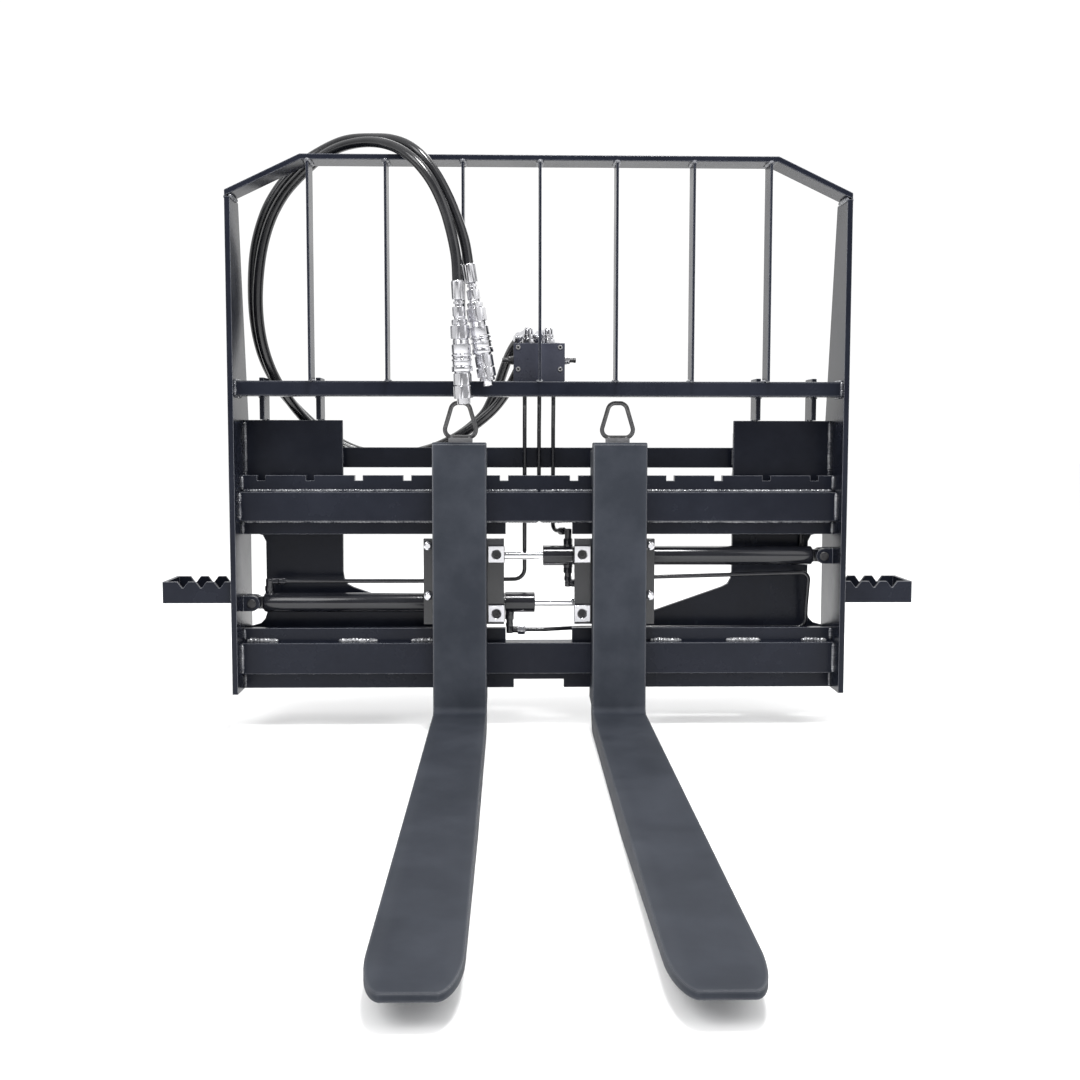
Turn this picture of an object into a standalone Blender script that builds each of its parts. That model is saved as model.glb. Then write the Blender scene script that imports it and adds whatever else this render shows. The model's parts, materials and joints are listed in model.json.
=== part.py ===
"""Hydraulic pallet fork attachment for a compact loader.

Two 1220 mm forks hang on a pair of hook-on carriage rails and are spread by two crossed
hydraulic cylinders, one for each fork. The frame carries a load guard, two side steps, the
loader's quick-attach plates, a flow divider block and a pair of supply hoses.

Metres, +Z up, the forks point to -Y, and the floor under the forks is Z = 0. Inside this
script a place is given as (x, depth, z), with depth measured backwards from the front edges
of the side plates.
"""

import math

import bmesh
import bpy
from mathutils import Vector

# ---------------------------------------------------------------- driving dimensions
HALF_WIDTH = 0.5715          # outer faces of the side plates, the universal coupler's width
PLATE = 0.010                # side plates, coupler plates, guard's top bar
FIT = 0.0003                 # gap between welded or bolted neighbours
SLIDE = 0.0010               # gap between sliding neighbours
FORK_LENGTH = 1.220
FORK_WIDTH = 0.100
FORK_THICKNESS = 0.040
REAR_DEPTH = 0.200           # rearmost point, the coupler plates' lower lips
FRONT_Y = (FORK_LENGTH - REAR_DEPTH) / 2

INNER = HALF_WIDTH - PLATE - FIT     # where the cross members end
FRAME_BOTTOM = 0.076
SIDE_DEPTH = 0.146           # side plates from the bottom up to SIDE_TAPER_START
SIDE_TOP_DEPTH = 0.074
SIDE_TAPER_START = 0.540

GUARD_CORNER_X = 0.435       # where the top bar turns down
GUARD_TOP = 1.0645
GUARD_END_TOP = 1.000        # top bar's upper edge over the side plates
GUARD_DEPTH = 0.062
GUARD_BAR_PITCH = 0.1405
GUARD_BAR = (0.005, 0.050)   # width across, depth
MID_BAR_DEPTH = (0.015, 0.065)
MID_BAR_HEIGHT = (0.630, 0.658)

LIP_DEPTH = (0.066, 0.082)   # the rails' hook flats
UPPER_FLAT = (0.371, 0.4825)
LOWER_FLAT = (FRAME_BOTTOM, 0.191)
UPPER_FACE = (0.397, 0.452)
LOWER_FACE = (0.107, 0.166)
FACE_DEPTH = (FORK_THICKNESS + SLIDE, LIP_DEPTH[0] - FIT)
RELIEF_HALF = 0.0635         # half width of the lips' cut-outs in the middle
NOTCH_FIRST = 0.0665
NOTCH_PITCH = 0.0917
NOTCHES = 6
NOTCH_WIDTH = 0.0155
NOTCH_DEPTH = 0.010

PLATE_BACK = 0.144           # rear faces of the coupler plates and the hook crossbar
CORNER_PLATE_DEPTH = (0.099, 0.107)
CORNER_PLATE_X = 0.375
CORNER_PLATE_HEIGHT = (0.455, 0.587)

FORK_X = 0.149               # fork centre lines with the forks fully in
FORK_TOP = 0.545
HOOK_DEPTH = LIP_DEPTH[1] + SLIDE + 0.014
LATCH_DEPTH = 0.074
LATCH_HOLE = 0.0066
LATCH_PIN = 0.0060
RING_HALF_WIDTHS = (0.0343, 0.0150)  # pull ring's lower and upper corners, before rounding
RING_HEIGHTS = (0.5545, 0.6195)
RING_BEND = 0.0145
RING_WIRE = 0.0042

CARRIER_X = (0.0665, 0.218)
CARRIER_HEIGHT = (0.202, 0.364)
CARRIER_DEPTH = (FORK_THICKNESS + FIT, 0.0555)
CLAMP_X = 0.0810
CLAMP_SIZE = 0.0315
CLAMP_HEIGHTS = (0.3353, 0.2235)

CYLINDER_DEPTH = 0.080
UPPER_AXIS = 0.329
LOWER_AXIS = 0.239
BARREL_RADIUS = 0.0185
BORE_RADIUS = 0.0150
ROD_RADIUS = 0.0080
GLAND_RADIUS = 0.0195
PIN_RADIUS = 0.0055
PIN_X = 0.545
GLAND_START = 0.007          # from the middle, towards the barrel
GLAND_END = 0.065
BARREL_END = 0.525
ROD_LUG_X = (0.075, 0.100)

TUBE_RADIUS = 0.0040
HOSE_RADIUS = 0.0095
ROUTE_STEP = 0.038           # spacing of the hoses' straight pieces

STEP_END = 0.700
STEP_HEIGHT = (0.246, 0.286)
STEP_DEPTH = (0.012, 0.118)
STEP_WALL = 0.006
TOOTH_PITCH = 0.034
TOOTH_DEPTH = 0.0115

BLOCK_HALF = 0.0485
BLOCK_DEPTH = (0.0716, 0.112)
BLOCK_HEIGHT = (0.6468, 0.732)

# ---------------------------------------------------------------- finishes
# base colour, roughness, metallic
FRAME_PAINT = ((0.022, 0.024, 0.032, 1), 0.38, 0.0)
FORK_PAINT = ((0.060, 0.063, 0.075, 1), 0.50, 0.0)
BLACK_PAINT = ((0.012, 0.012, 0.015, 1), 0.35, 0.0)
CHROME = ((0.80, 0.80, 0.82, 1), 0.10, 1.0)
ZINC = ((0.62, 0.63, 0.65, 1), 0.28, 1.0)
RAW_STEEL = ((0.20, 0.20, 0.20, 1), 0.45, 1.0)
RUBBER = ((0.010, 0.010, 0.012, 1), 0.42, 0.0)


# ---------------------------------------------------------------- building blocks
def clear_scene():
    for item in list(bpy.data.objects):
        bpy.data.objects.remove(item, do_unlink=True)


def at(x, depth, z):
    return Vector((x, FRONT_Y + depth, z))


def finish_of(name, finish):
    colour, roughness, metallic = finish
    material = bpy.data.materials.new(name + "_finish")
    material.use_nodes = True
    shader = material.node_tree.nodes["Principled BSDF"]
    shader.inputs["Base Color"].default_value = colour
    shader.inputs["Roughness"].default_value = roughness
    shader.inputs["Metallic"].default_value = metallic
    return material


def as_object(name, mesh, finish, origin=(0, 0, 0), smooth=False):
    """Turn a bmesh into a named object whose origin is at the given point."""
    bmesh.ops.recalc_face_normals(mesh, faces=mesh.faces)
    bmesh.ops.translate(mesh, verts=mesh.verts, vec=-Vector(origin))
    data = bpy.data.meshes.new(name)
    mesh.to_mesh(data)
    mesh.free()
    data.materials.append(finish_of(name, finish))
    if smooth:
        data.shade_smooth()
        data.set_sharp_from_angle(angle=math.radians(35))
    item = bpy.data.objects.new(name, data)
    item.location = origin
    bpy.context.scene.collection.objects.link(item)
    return item


def bevelled(item, width=0.0008, segments=1):
    bevel = item.modifiers.new("Bevel", "BEVEL")
    bevel.width = width
    bevel.segments = segments
    bevel.limit_method = "ANGLE"
    bevel.angle_limit = math.radians(40)
    return item


def prism(name, plane, outline, low, high, finish, origin=(0, 0, 0)):
    """Extrude an outline: "side" is (depth, z) along x, "front" (x, z), "plan" (x, depth)."""
    places = {
        "side": lambda a, b, level: at(level, a, b),
        "front": lambda a, b, level: at(a, level, b),
        "plan": lambda a, b, level: at(a, b, level),
    }
    mesh = bmesh.new()
    first = [mesh.verts.new(places[plane](a, b, low)) for a, b in outline]
    last = [mesh.verts.new(places[plane](a, b, high)) for a, b in outline]
    count = len(outline)
    for i in range(count):
        j = (i + 1) % count
        mesh.faces.new((first[i], first[j], last[j], last[i]))
    mesh.faces.new(first)
    mesh.faces.new(list(reversed(last)))
    return as_object(name, mesh, finish, origin)


def block(name, x, depth, z, finish, origin=(0, 0, 0)):
    outline = [(x[0], z[0]), (x[1], z[0]), (x[1], z[1]), (x[0], z[1])]
    return prism(name, "front", outline, depth[0], depth[1], finish, origin)


def turned(name, profile, start, direction, finish, sides=24, loop=False, origin=(0, 0, 0)):
    """Turn a profile of (distance, radius) about an axis; a loop profile makes a hollow part."""
    axis = Vector(direction).normalized()
    across = axis.orthogonal().normalized()
    other = axis.cross(across)
    mesh = bmesh.new()
    rings = []
    for distance, radius in profile:
        ring = []
        for step in range(sides):
            angle = 2 * math.pi * step / sides
            offset = across * math.cos(angle) + other * math.sin(angle)
            ring.append(mesh.verts.new(start + axis * distance + offset * radius))
        rings.append(ring)
    bands = list(zip(rings, rings[1:]))
    if loop:
        bands.append((rings[-1], rings[0]))
    else:
        mesh.faces.new(rings[0])
        mesh.faces.new(rings[-1])
    for near, far in bands:
        for step in range(sides):
            after = (step + 1) % sides
            mesh.faces.new((near[step], near[after], far[after], far[step]))
    return as_object(name, mesh, finish, origin, smooth=True)


def rod(name, start, end, radius, finish, sides=24, origin=(0, 0, 0)):
    length = (end - start).length
    return turned(name, [(0, radius), (length, radius)], start, end - start, finish, sides,
                  origin=origin)


def as_guide(item):
    item.hide_render = True
    item.display_type = "WIRE"
    return item


def combine(item, operation, tools):
    for tool in tools:
        change = item.modifiers.new(operation.title(), "BOOLEAN")
        change.operation = operation
        change.solver = "EXACT"
        change.object = as_guide(tool)
    return item


def weld(item, *tools):
    return combine(item, "UNION", tools)


def cut(item, *tools):
    return combine(item, "DIFFERENCE", tools)


def arc(centre, radius, start, end, steps):
    """Points on an arc, angles in degrees."""
    points = []
    for step in range(steps + 1):
        angle = math.radians(start + (end - start) * step / steps)
        points.append((centre[0] + radius * math.cos(angle), centre[1] + radius * math.sin(angle)))
    return points


def rounded(corners, radius, steps=5, closed=False):
    """A path through 3-D corners with its bends rounded."""
    count = len(corners)
    points = []
    for i, corner in enumerate(corners):
        if not closed and i in (0, count - 1):
            points.append(corner)
            continue
        before = (corners[i - 1] - corner).normalized()
        after = (corners[(i + 1) % count] - corner).normalized()
        half = before.angle(after) / 2
        reach = radius / math.tan(half)
        middle = corner + (before + after).normalized() * (radius / math.sin(half))
        first = corner + before * reach - middle
        last = corner + after * reach - middle
        for step in range(steps + 1):
            points.append(middle + first.slerp(last, step / steps) * radius)
    return points


def smooth_route(points, spacing):
    """Evenly spaced points on a Catmull-Rom curve through the given points."""
    ends = [2 * points[0] - points[1]] + list(points) + [2 * points[-1] - points[-2]]
    fine = []
    parts = 24
    for i in range(1, len(ends) - 2):
        a, b, c, d = ends[i - 1:i + 3]
        for step in range(parts):
            t = step / parts
            fine.append(0.5 * (2 * b + (c - a) * t + (2 * a - 5 * b + 4 * c - d) * t ** 2
                               + (3 * b - a - 3 * c + d) * t ** 3))
    fine.append(points[-1])
    total = sum((q - p).length for p, q in zip(fine, fine[1:]))
    pieces = max(2, round(total / spacing))
    route = [fine[0]]
    travelled = 0.0
    for p, q in zip(fine, fine[1:]):
        length = (q - p).length
        while len(route) < pieces and travelled + length >= total * len(route) / pieces:
            share = (total * len(route) / pieces - travelled) / length
            route.append(p.lerp(q, share))
        travelled += length
    route.append(fine[-1])
    return route


def pipe(name, points, radius, finish, resolution=2):
    """A round tube or hose along a path, as a bevelled curve with filled ends."""
    data = bpy.data.curves.new(name, "CURVE")
    data.dimensions = "3D"
    data.bevel_depth = radius
    data.bevel_resolution = resolution
    data.use_fill_caps = True
    spline = data.splines.new("POLY")
    spline.points.add(len(points) - 1)
    for place, point in zip(spline.points, points):
        place.co = (*point, 1)
    data.materials.append(finish_of(name, finish))
    item = bpy.data.objects.new(name, data)
    bpy.context.scene.collection.objects.link(item)
    return item


def side_name(side):
    return "left" if side < 0 else "right"


def span(side, near, far):
    """The x range of a piece between two distances from the middle, on one side."""
    return tuple(sorted((side * near, side * far)))


# ---------------------------------------------------------------- frame and guard
def side_plate(side):
    """Side plate with the clevis ears for one cylinder welded to its inner face."""
    outline = [
        (0, FRAME_BOTTOM),
        (SIDE_DEPTH, FRAME_BOTTOM),
        (SIDE_DEPTH, SIDE_TAPER_START),
        (SIDE_TOP_DEPTH, GUARD_END_TOP - 0.0118),
        (0, GUARD_END_TOP - 0.0118),
    ]
    low, high = span(side, HALF_WIDTH - PLATE, HALF_WIDTH)
    name = "side_plate_" + side_name(side)
    plate = prism(name, "side", outline, low, high, FRAME_PAINT)
    height = UPPER_AXIS if side > 0 else LOWER_AXIS
    ears = []
    for number, depth in enumerate(((0.0600, 0.0735), (0.0865, 0.1000))):
        ear_outline = arc((side * PIN_X, height), 0.0145, 90 + 90 * (1 - side), 270 + 90 * (1 - side), 8)
        wall = side * (HALF_WIDTH - PLATE / 2)
        ear_outline = [(wall, ear_outline[0][1])] + ear_outline + [(wall, ear_outline[-1][1])]
        ears.append(prism(f"ear_{name}_{number}", "front", ear_outline, *depth, FRAME_PAINT))
    weld(plate, *ears)
    hole = rod("pin_hole_" + name, at(side * PIN_X, 0.050, height), at(side * PIN_X, 0.110, height),
               PIN_RADIUS + 0.0004, FRAME_PAINT, 16)
    return cut(plate, hole)


def guard_top_bar():
    """Flat bar over the guard, bent down at both ends to the side plates."""
    slope = (GUARD_TOP - GUARD_END_TOP) / (HALF_WIDTH - GUARD_CORNER_X)
    drop = PLATE * math.sqrt(1 + slope ** 2)
    inner_corner = GUARD_CORNER_X - (drop - PLATE) / slope
    outline = [
        (-HALF_WIDTH, GUARD_END_TOP),
        (-HALF_WIDTH, GUARD_END_TOP - drop),
        (-inner_corner, GUARD_TOP - PLATE),
        (inner_corner, GUARD_TOP - PLATE),
        (HALF_WIDTH, GUARD_END_TOP - drop),
        (HALF_WIDTH, GUARD_END_TOP),
        (GUARD_CORNER_X, GUARD_TOP),
        (-GUARD_CORNER_X, GUARD_TOP),
    ]
    return bevelled(prism("guard_top_bar", "front", outline, 0, GUARD_DEPTH, FRAME_PAINT))


def guard_bars():
    width, depth = GUARD_BAR
    for number in range(7):
        x = (number - 3) * GUARD_BAR_PITCH
        height = (MID_BAR_HEIGHT[1] + FIT, GUARD_TOP - PLATE - FIT)
        bar = block(f"guard_bar_{number + 1}", (x - width / 2, x + width / 2), (0, depth), height,
                    FRAME_PAINT)
        bevelled(bar, 0.0005)


def guard_mid_bar():
    bar = block("guard_mid_bar", (-INNER, INNER), MID_BAR_DEPTH, MID_BAR_HEIGHT, FRAME_PAINT)
    return bevelled(bar, 0.0025, 2)


def guard_ribs():
    """Four flats that tie the guard's middle bar to the corner plates."""
    for number, x in enumerate((-0.5215, -0.4155, 0.4155, 0.5215)):
        rib = block(f"guard_rib_{number + 1}", (x - 0.0045, x + 0.0045),
                    (MID_BAR_DEPTH[1] + FIT, 0.120), (CORNER_PLATE_HEIGHT[1] + FIT, 0.666), FRAME_PAINT)
        bevelled(rib, 0.0006)


def corner_plates():
    for side in (-1, 1):
        plate = block("corner_plate_" + side_name(side), span(side, CORNER_PLATE_X, INNER),
                      CORNER_PLATE_DEPTH, CORNER_PLATE_HEIGHT, FRAME_PAINT)
        bevelled(plate, 0.0008)


def hook_crossbar():
    end = 0.381 - FIT
    bar = block("hook_crossbar", (-end, end), (PLATE_BACK - PLATE, PLATE_BACK), (0.496, 0.535), FRAME_PAINT)
    return bevelled(bar)


def upper_rail():
    """Hook flat with locating notches along its top, and the bearing bar in front of it."""
    low, high = UPPER_FLAT
    outline = [(-INNER, low), (-INNER, high)]
    centres = [NOTCH_FIRST + NOTCH_PITCH * number for number in range(NOTCHES)]
    for x in [-c for c in reversed(centres)] + centres:
        left, right = x - NOTCH_WIDTH / 2, x + NOTCH_WIDTH / 2
        outline += [(left, high), (left, high - NOTCH_DEPTH), (right, high - NOTCH_DEPTH), (right, high)]
    outline += [(INNER, high), (INNER, low), (RELIEF_HALF, low), (RELIEF_HALF, UPPER_FACE[0])]
    outline += [(-RELIEF_HALF, UPPER_FACE[0]), (-RELIEF_HALF, low)]
    prism("upper_rail_flat", "front", outline, *LIP_DEPTH, FRAME_PAINT)
    bar = block("upper_rail_face_bar", (-INNER, INNER), FACE_DEPTH, UPPER_FACE, FRAME_PAINT)
    bevelled(bar, 0.0015, 2)


def lower_rail():
    """Hook flat with its upper lip relieved in the middle, and the bearing bar in front of it."""
    low, high = LOWER_FLAT
    recess = 0.048
    outline = [
        (-INNER, low), (-INNER, high), (-RELIEF_HALF, high), (-RELIEF_HALF, LOWER_FACE[1]),
        (RELIEF_HALF, LOWER_FACE[1]), (RELIEF_HALF, high), (INNER, high), (INNER, low),
        (recess, low), (recess, low + 0.016), (-recess, low + 0.016), (-recess, low),
    ]
    prism("lower_rail_flat", "front", outline, *LIP_DEPTH, FRAME_PAINT)
    bar = block("lower_rail_face_bar", (-INNER, INNER), FACE_DEPTH, LOWER_FACE, FRAME_PAINT)
    bevelled(bar, 0.0015, 2)


def coupler_plate(side):
    """Quick-attach plate with its top hook, lower lip with the lock pin's slot, and spacers."""
    neck_outer, top = 0.5305, 0.563
    fillet_top, fillet_low = 0.352, 0.212
    outline = [(0.381, top), (0.381, 0.292)]
    outline += [(0.379, 0.279), (0.373, 0.268), (0.362, 0.262)]
    outline += [(0.233, 0.217), (0.178, 0.198), (0.178, 0.095), (INNER, 0.095), (INNER, 0.186)]
    outline += [(INNER - 0.018, 0.191), (neck_outer + 0.004, 0.200), (neck_outer, fillet_low)]
    outline += [(neck_outer, fillet_top), (neck_outer + 0.006, fillet_top + 0.012)]
    outline += [(INNER, fillet_top + 0.019), (INNER, top)]
    outline = [(side * x, z) for x, z in outline]
    name = "coupler_plate_" + side_name(side)
    plate = prism(name, "front", outline, PLATE_BACK - PLATE, PLATE_BACK, FRAME_PAINT)
    hook_outline = [(0.140, 0.520), (0.140, 0.504), (0.176, 0.468), (0.184, 0.476)]
    lip_outline = [(0.140, 0.110), (0.140, 0.096), (0.194, 0.0835), (REAR_DEPTH, 0.092), (0.198, 0.0965)]
    low, high = span(side, 0.386, 0.5560)
    hook = prism("hook_" + name, "side", hook_outline, low, high, FRAME_PAINT)
    lip_low, lip_high = span(side, 0.260, 0.5560)
    lip = prism("lip_" + name, "side", lip_outline, lip_low, lip_high, FRAME_PAINT)
    depth = (LIP_DEPTH[1] + FIT, PLATE_BACK - PLATE / 2)
    upper_spacer = block("upper_spacer_" + name, span(side, 0.400, 0.495), depth, (0.385, 0.445), FRAME_PAINT)
    lower_spacer = block("lower_spacer_" + name, span(side, 0.400, 0.495), depth, (0.108, 0.168), FRAME_PAINT)
    weld(plate, hook, lip, upper_spacer, lower_spacer)
    slot = block("slot_" + name, span(side, 0.400, 0.460), (0.156, 0.180), (0.070, 0.130), FRAME_PAINT)
    return cut(plate, slot)


def side_step(side):
    """Tray step with serrated edges, open on top."""
    low, high = STEP_HEIGHT
    start = HALF_WIDTH + FIT
    outline = [(start, low), (start, high)]
    for number in range(3):
        valley = HALF_WIDTH + 0.0235 + TOOTH_PITCH * number
        outline += [(valley - 0.0100, high), (valley - 0.0015, high - TOOTH_DEPTH)]
        outline += [(valley + 0.0015, high - TOOTH_DEPTH), (valley + 0.0100, high)]
    outline += [(STEP_END, high), (STEP_END, low)]
    outline = [(side * x, z) for x, z in outline]
    name = "step_" + side_name(side)
    step = prism(name, "front", outline, *STEP_DEPTH, FRAME_PAINT)
    hollow = block("hollow_" + name, span(side, start + STEP_WALL, STEP_END - STEP_WALL),
                   (STEP_DEPTH[0] + STEP_WALL, STEP_DEPTH[1] - STEP_WALL), (low + STEP_WALL, high + 0.02),
                   FRAME_PAINT)
    return cut(step, hollow)


# ---------------------------------------------------------------- forks and what rides on them
def fork_outline():
    """Side view of a fork with its two hooks, as (depth, z)."""
    back = FORK_THICKNESS
    slot = (LIP_DEPTH[0] - SLIDE, LIP_DEPTH[1] + SLIDE)
    top_slot = UPPER_FLAT[1] + SLIDE
    low_slot = LOWER_FLAT[0] - SLIDE
    outline = [(0, FORK_TOP - 0.004), (0, FORK_THICKNESS + 0.014)]
    outline += arc((-0.014, FORK_THICKNESS + 0.014), 0.014, 0, -90, 4)[1:]
    outline += [(-FORK_LENGTH, FORK_THICKNESS), (-FORK_LENGTH, 0.030), (-0.640, 0)]
    outline += arc((back - 0.046, 0.046), 0.046, -90, 0, 6)
    outline += [(HOOK_DEPTH, 0.0505), (HOOK_DEPTH, 0.100), (slot[1], 0.100), (slot[1], low_slot)]
    outline += [(slot[0], low_slot), (slot[0], 0.100), (back, 0.100)]
    outline += [(back, 0.459), (slot[0], 0.459), (slot[0], top_slot), (slot[1], top_slot)]
    outline += [(slot[1], 0.455), (HOOK_DEPTH, 0.455), (HOOK_DEPTH, 0.530), (back + 0.010, 0.530)]
    outline += [(back, FORK_TOP), (0.004, FORK_TOP)]
    return outline


def tip_outline(x):
    """Plan view of a fork, with its rounded tip, as (x, depth)."""
    half = FORK_WIDTH / 2
    flat, reach = 0.026, 0.100
    outline = [(x - half, 0.150)]
    for step in range(9):
        angle = math.radians(90 * step / 8)
        outline.append((x - flat - (half - flat) * math.cos(angle),
                        reach - FORK_LENGTH - reach * math.sin(angle)))
    right = [(2 * x - px, depth) for px, depth in reversed(outline)]
    return outline + right


def fork(side):
    x = side * FORK_X
    origin = at(x, 0, 0)
    name = "fork_" + side_name(side)
    half = FORK_WIDTH / 2
    body = prism(name, "side", fork_outline(), x - half, x + half, FORK_PAINT, origin)
    plan = prism("plan_" + name, "plan", tip_outline(x), -0.02, FORK_TOP + 0.02, FORK_PAINT)
    combine(body, "INTERSECT", [plan])
    hole = rod("latch_hole_" + name, at(x, LATCH_DEPTH, 0.475), at(x, LATCH_DEPTH, 0.545), LATCH_HOLE,
               FORK_PAINT, 16)
    return cut(body, hole)


def ring_body(name, centres, radius, finish, sides=8, origin=(0, 0, 0)):
    """A closed wire ring that stands in the x-z plane."""
    mesh = bmesh.new()
    rings = []
    count = len(centres)
    for i, centre in enumerate(centres):
        along = (centres[(i + 1) % count] - centres[i - 1]).normalized()
        outward = along.cross(Vector((0, 1, 0))).normalized()
        ring = []
        for step in range(sides):
            angle = 2 * math.pi * step / sides
            offset = outward * math.cos(angle) + Vector((0, 1, 0)) * math.sin(angle)
            ring.append(mesh.verts.new(centre + offset * radius))
        rings.append(ring)
    for i in range(count):
        near, far = rings[i], rings[(i + 1) % count]
        for step in range(sides):
            after = (step + 1) % sides
            mesh.faces.new((near[step], near[after], far[after], far[step]))
    return as_object(name, mesh, finish, origin, smooth=True)


def latch(side):
    """Spring latch of a fork: pin, head bar and pull ring in one piece."""
    x = side * FORK_X
    origin = at(x, LATCH_DEPTH, 0.530)
    name = "latch_" + side_name(side)
    base = 0.530 + FIT
    pin = rod(name, at(x, LATCH_DEPTH, UPPER_FLAT[1] + 0.0005), at(x, LATCH_DEPTH, base + 0.010),
              LATCH_PIN, RAW_STEEL, 16, origin)
    head = block("head_" + name, (x - 0.023, x + 0.023), (LATCH_DEPTH - 0.007, LATCH_DEPTH + 0.007),
                 (base, 0.5535), RAW_STEEL)
    low, high = (RING_HALF_WIDTHS[0], RING_HEIGHTS[0]), (RING_HALF_WIDTHS[1], RING_HEIGHTS[1])
    corners = [at(x - low[0], LATCH_DEPTH, low[1]), at(x + low[0], LATCH_DEPTH, low[1]),
               at(x + high[0], LATCH_DEPTH, high[1]), at(x - high[0], LATCH_DEPTH, high[1])]
    path = rounded(corners, RING_BEND, 5, closed=True)
    ring = ring_body("ring_" + name, path, RING_WIRE, RAW_STEEL)
    return weld(pin, head, ring)


def carrier(side):
    """Plate behind a fork that its cylinder's rod pushes, with the rod's lug."""
    height = UPPER_AXIS if side < 0 else LOWER_AXIS
    name = "carrier_" + side_name(side)
    plate = block(name, span(side, *CARRIER_X), CARRIER_DEPTH, CARRIER_HEIGHT, BLACK_PAINT,
                  at(side * FORK_X, 0, 0))
    lug = block("lug_" + name, span(side, *ROD_LUG_X), (CARRIER_DEPTH[0] + 0.004, 0.100),
                (height - 0.0185, height + 0.0185), BLACK_PAINT)
    return weld(plate, lug)


def clamp_blocks(side):
    """Two square blocks beside the fork's shank, each with a deep screw recess."""
    for label, height in zip(("upper", "lower"), CLAMP_HEIGHTS):
        x = side * CLAMP_X
        half = CLAMP_SIZE / 2
        name = f"clamp_block_{side_name(side)}_{label}"
        piece = block(name, (x - half, x + half), (0.0260, CARRIER_DEPTH[0] - FIT),
                      (height - half, height + half), ZINC, at(side * FORK_X, 0, 0))
        recess = rod("recess_" + name, at(x, 0.020, height), at(x, 0.0345, height), 0.0085, ZINC, 16)
        cut(piece, recess)


# ---------------------------------------------------------------- hydraulics
def cylinder(label, side, height):
    """One spreader cylinder: barrel pinned to the frame on one side, rod to the other fork."""
    inward = Vector((-side, 0, 0))
    eye = at(side * PIN_X, CYLINDER_DEPTH, height)
    cap = at(side * BARREL_END, CYLINDER_DEPTH, height)
    length = BARREL_END - GLAND_END - FIT
    profile = [(0, 0.0010), (0, BARREL_RADIUS), (length, BARREL_RADIUS), (length, BORE_RADIUS),
               (0.020, BORE_RADIUS), (0.020, 0.0010)]
    barrel = turned("barrel_" + label, profile, cap, inward, BLACK_PAINT, 24, loop=True)
    tongue_outline = arc((side * PIN_X, height), 0.0125, 90 + 90 * (1 + side), 270 + 90 * (1 + side), 8)
    inner_x = side * (BARREL_END - 0.010)
    tongue_outline = [(inner_x, tongue_outline[0][1])] + tongue_outline + [(inner_x, tongue_outline[-1][1])]
    tongue = prism("tongue_" + label, "front", tongue_outline, 0.0740, 0.0860, BLACK_PAINT)
    weld(barrel, tongue)
    cut(barrel, rod("eye_" + label, eye + Vector((0, -0.03, 0)), eye + Vector((0, 0.03, 0)),
                    PIN_RADIUS + 0.0004, BLACK_PAINT, 16))
    port_x = side * 0.5150
    if side < 0:
        port = rod("cap_port_" + label, at(port_x, CYLINDER_DEPTH, height + 0.0165),
                   at(port_x, CYLINDER_DEPTH, 0.2870), 0.0072, BLACK_PAINT, 12)
        outlet = rod("cap_outlet_" + label, at(port_x, CYLINDER_DEPTH, 0.2800),
                     at(port_x + 0.0180, CYLINDER_DEPTH, 0.2800), 0.0066, BLACK_PAINT, 12)
        weld(barrel, port, outlet)
    else:
        port = rod("cap_port_" + label, at(port_x, CYLINDER_DEPTH + 0.0165, height),
                   at(port_x, 0.1080, height), 0.0072, BLACK_PAINT, 12)
        weld(barrel, port)

    face = at(side * GLAND_END, CYLINDER_DEPTH, height)
    gland_length = GLAND_END - GLAND_START
    gland_profile = [(0, ROD_RADIUS + FIT), (0, GLAND_RADIUS), (gland_length - 0.001, GLAND_RADIUS),
                     (gland_length, GLAND_RADIUS - 0.001), (gland_length, ROD_RADIUS + FIT)]
    gland = turned("gland_" + label, gland_profile, face, inward, BLACK_PAINT, 24, loop=True)
    gland_x = side * 0.0560
    fittings = [(0.0085, -0.0120, -0.0360), (0.0065, -0.0340, -0.0600)]
    if side > 0:
        fittings += [(0.0085, 0.0120, 0.0340), (0.0065, 0.0330, 0.0520)]
    parts = []
    for number, (radius, near, far) in enumerate(fittings):
        parts.append(rod(f"port_{label}_{number}", at(gland_x, CYLINDER_DEPTH, height + near),
                         at(gland_x, CYLINDER_DEPTH, height + far), radius, BLACK_PAINT, 12))
    parts.append(rod(f"elbow_{label}_low", at(gland_x - 0.006 * side, CYLINDER_DEPTH, height - 0.0530),
                     at(gland_x + 0.0140, CYLINDER_DEPTH, height - 0.0530), 0.0066, BLACK_PAINT, 12))
    weld(gland, *parts)

    pin_profile = [(0, 0.0085), (0.003, 0.0085), (0.003, PIN_RADIUS), (0.0450, PIN_RADIUS)]
    turned("cylinder_pin_" + label, pin_profile, at(side * PIN_X, 0.0567, height), (0, 1, 0), ZINC, 16)


def cylinder_rod(label, side, height):
    """Chromed rod with its piston, from the moving fork's lug into the barrel."""
    start_x = -side * (ROD_LUG_X[0] - FIT)
    reach = ROD_LUG_X[0] - FIT + 0.470
    profile = [(0, ROD_RADIUS), (reach - 0.022, ROD_RADIUS), (reach - 0.022, BORE_RADIUS - FIT),
               (reach, BORE_RADIUS - FIT)]
    turned("rod_" + label, profile, at(start_x, CYLINDER_DEPTH, height), (side, 0, 0), CHROME, 24,
           origin=at(start_x, CYLINDER_DEPTH, height))


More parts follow.
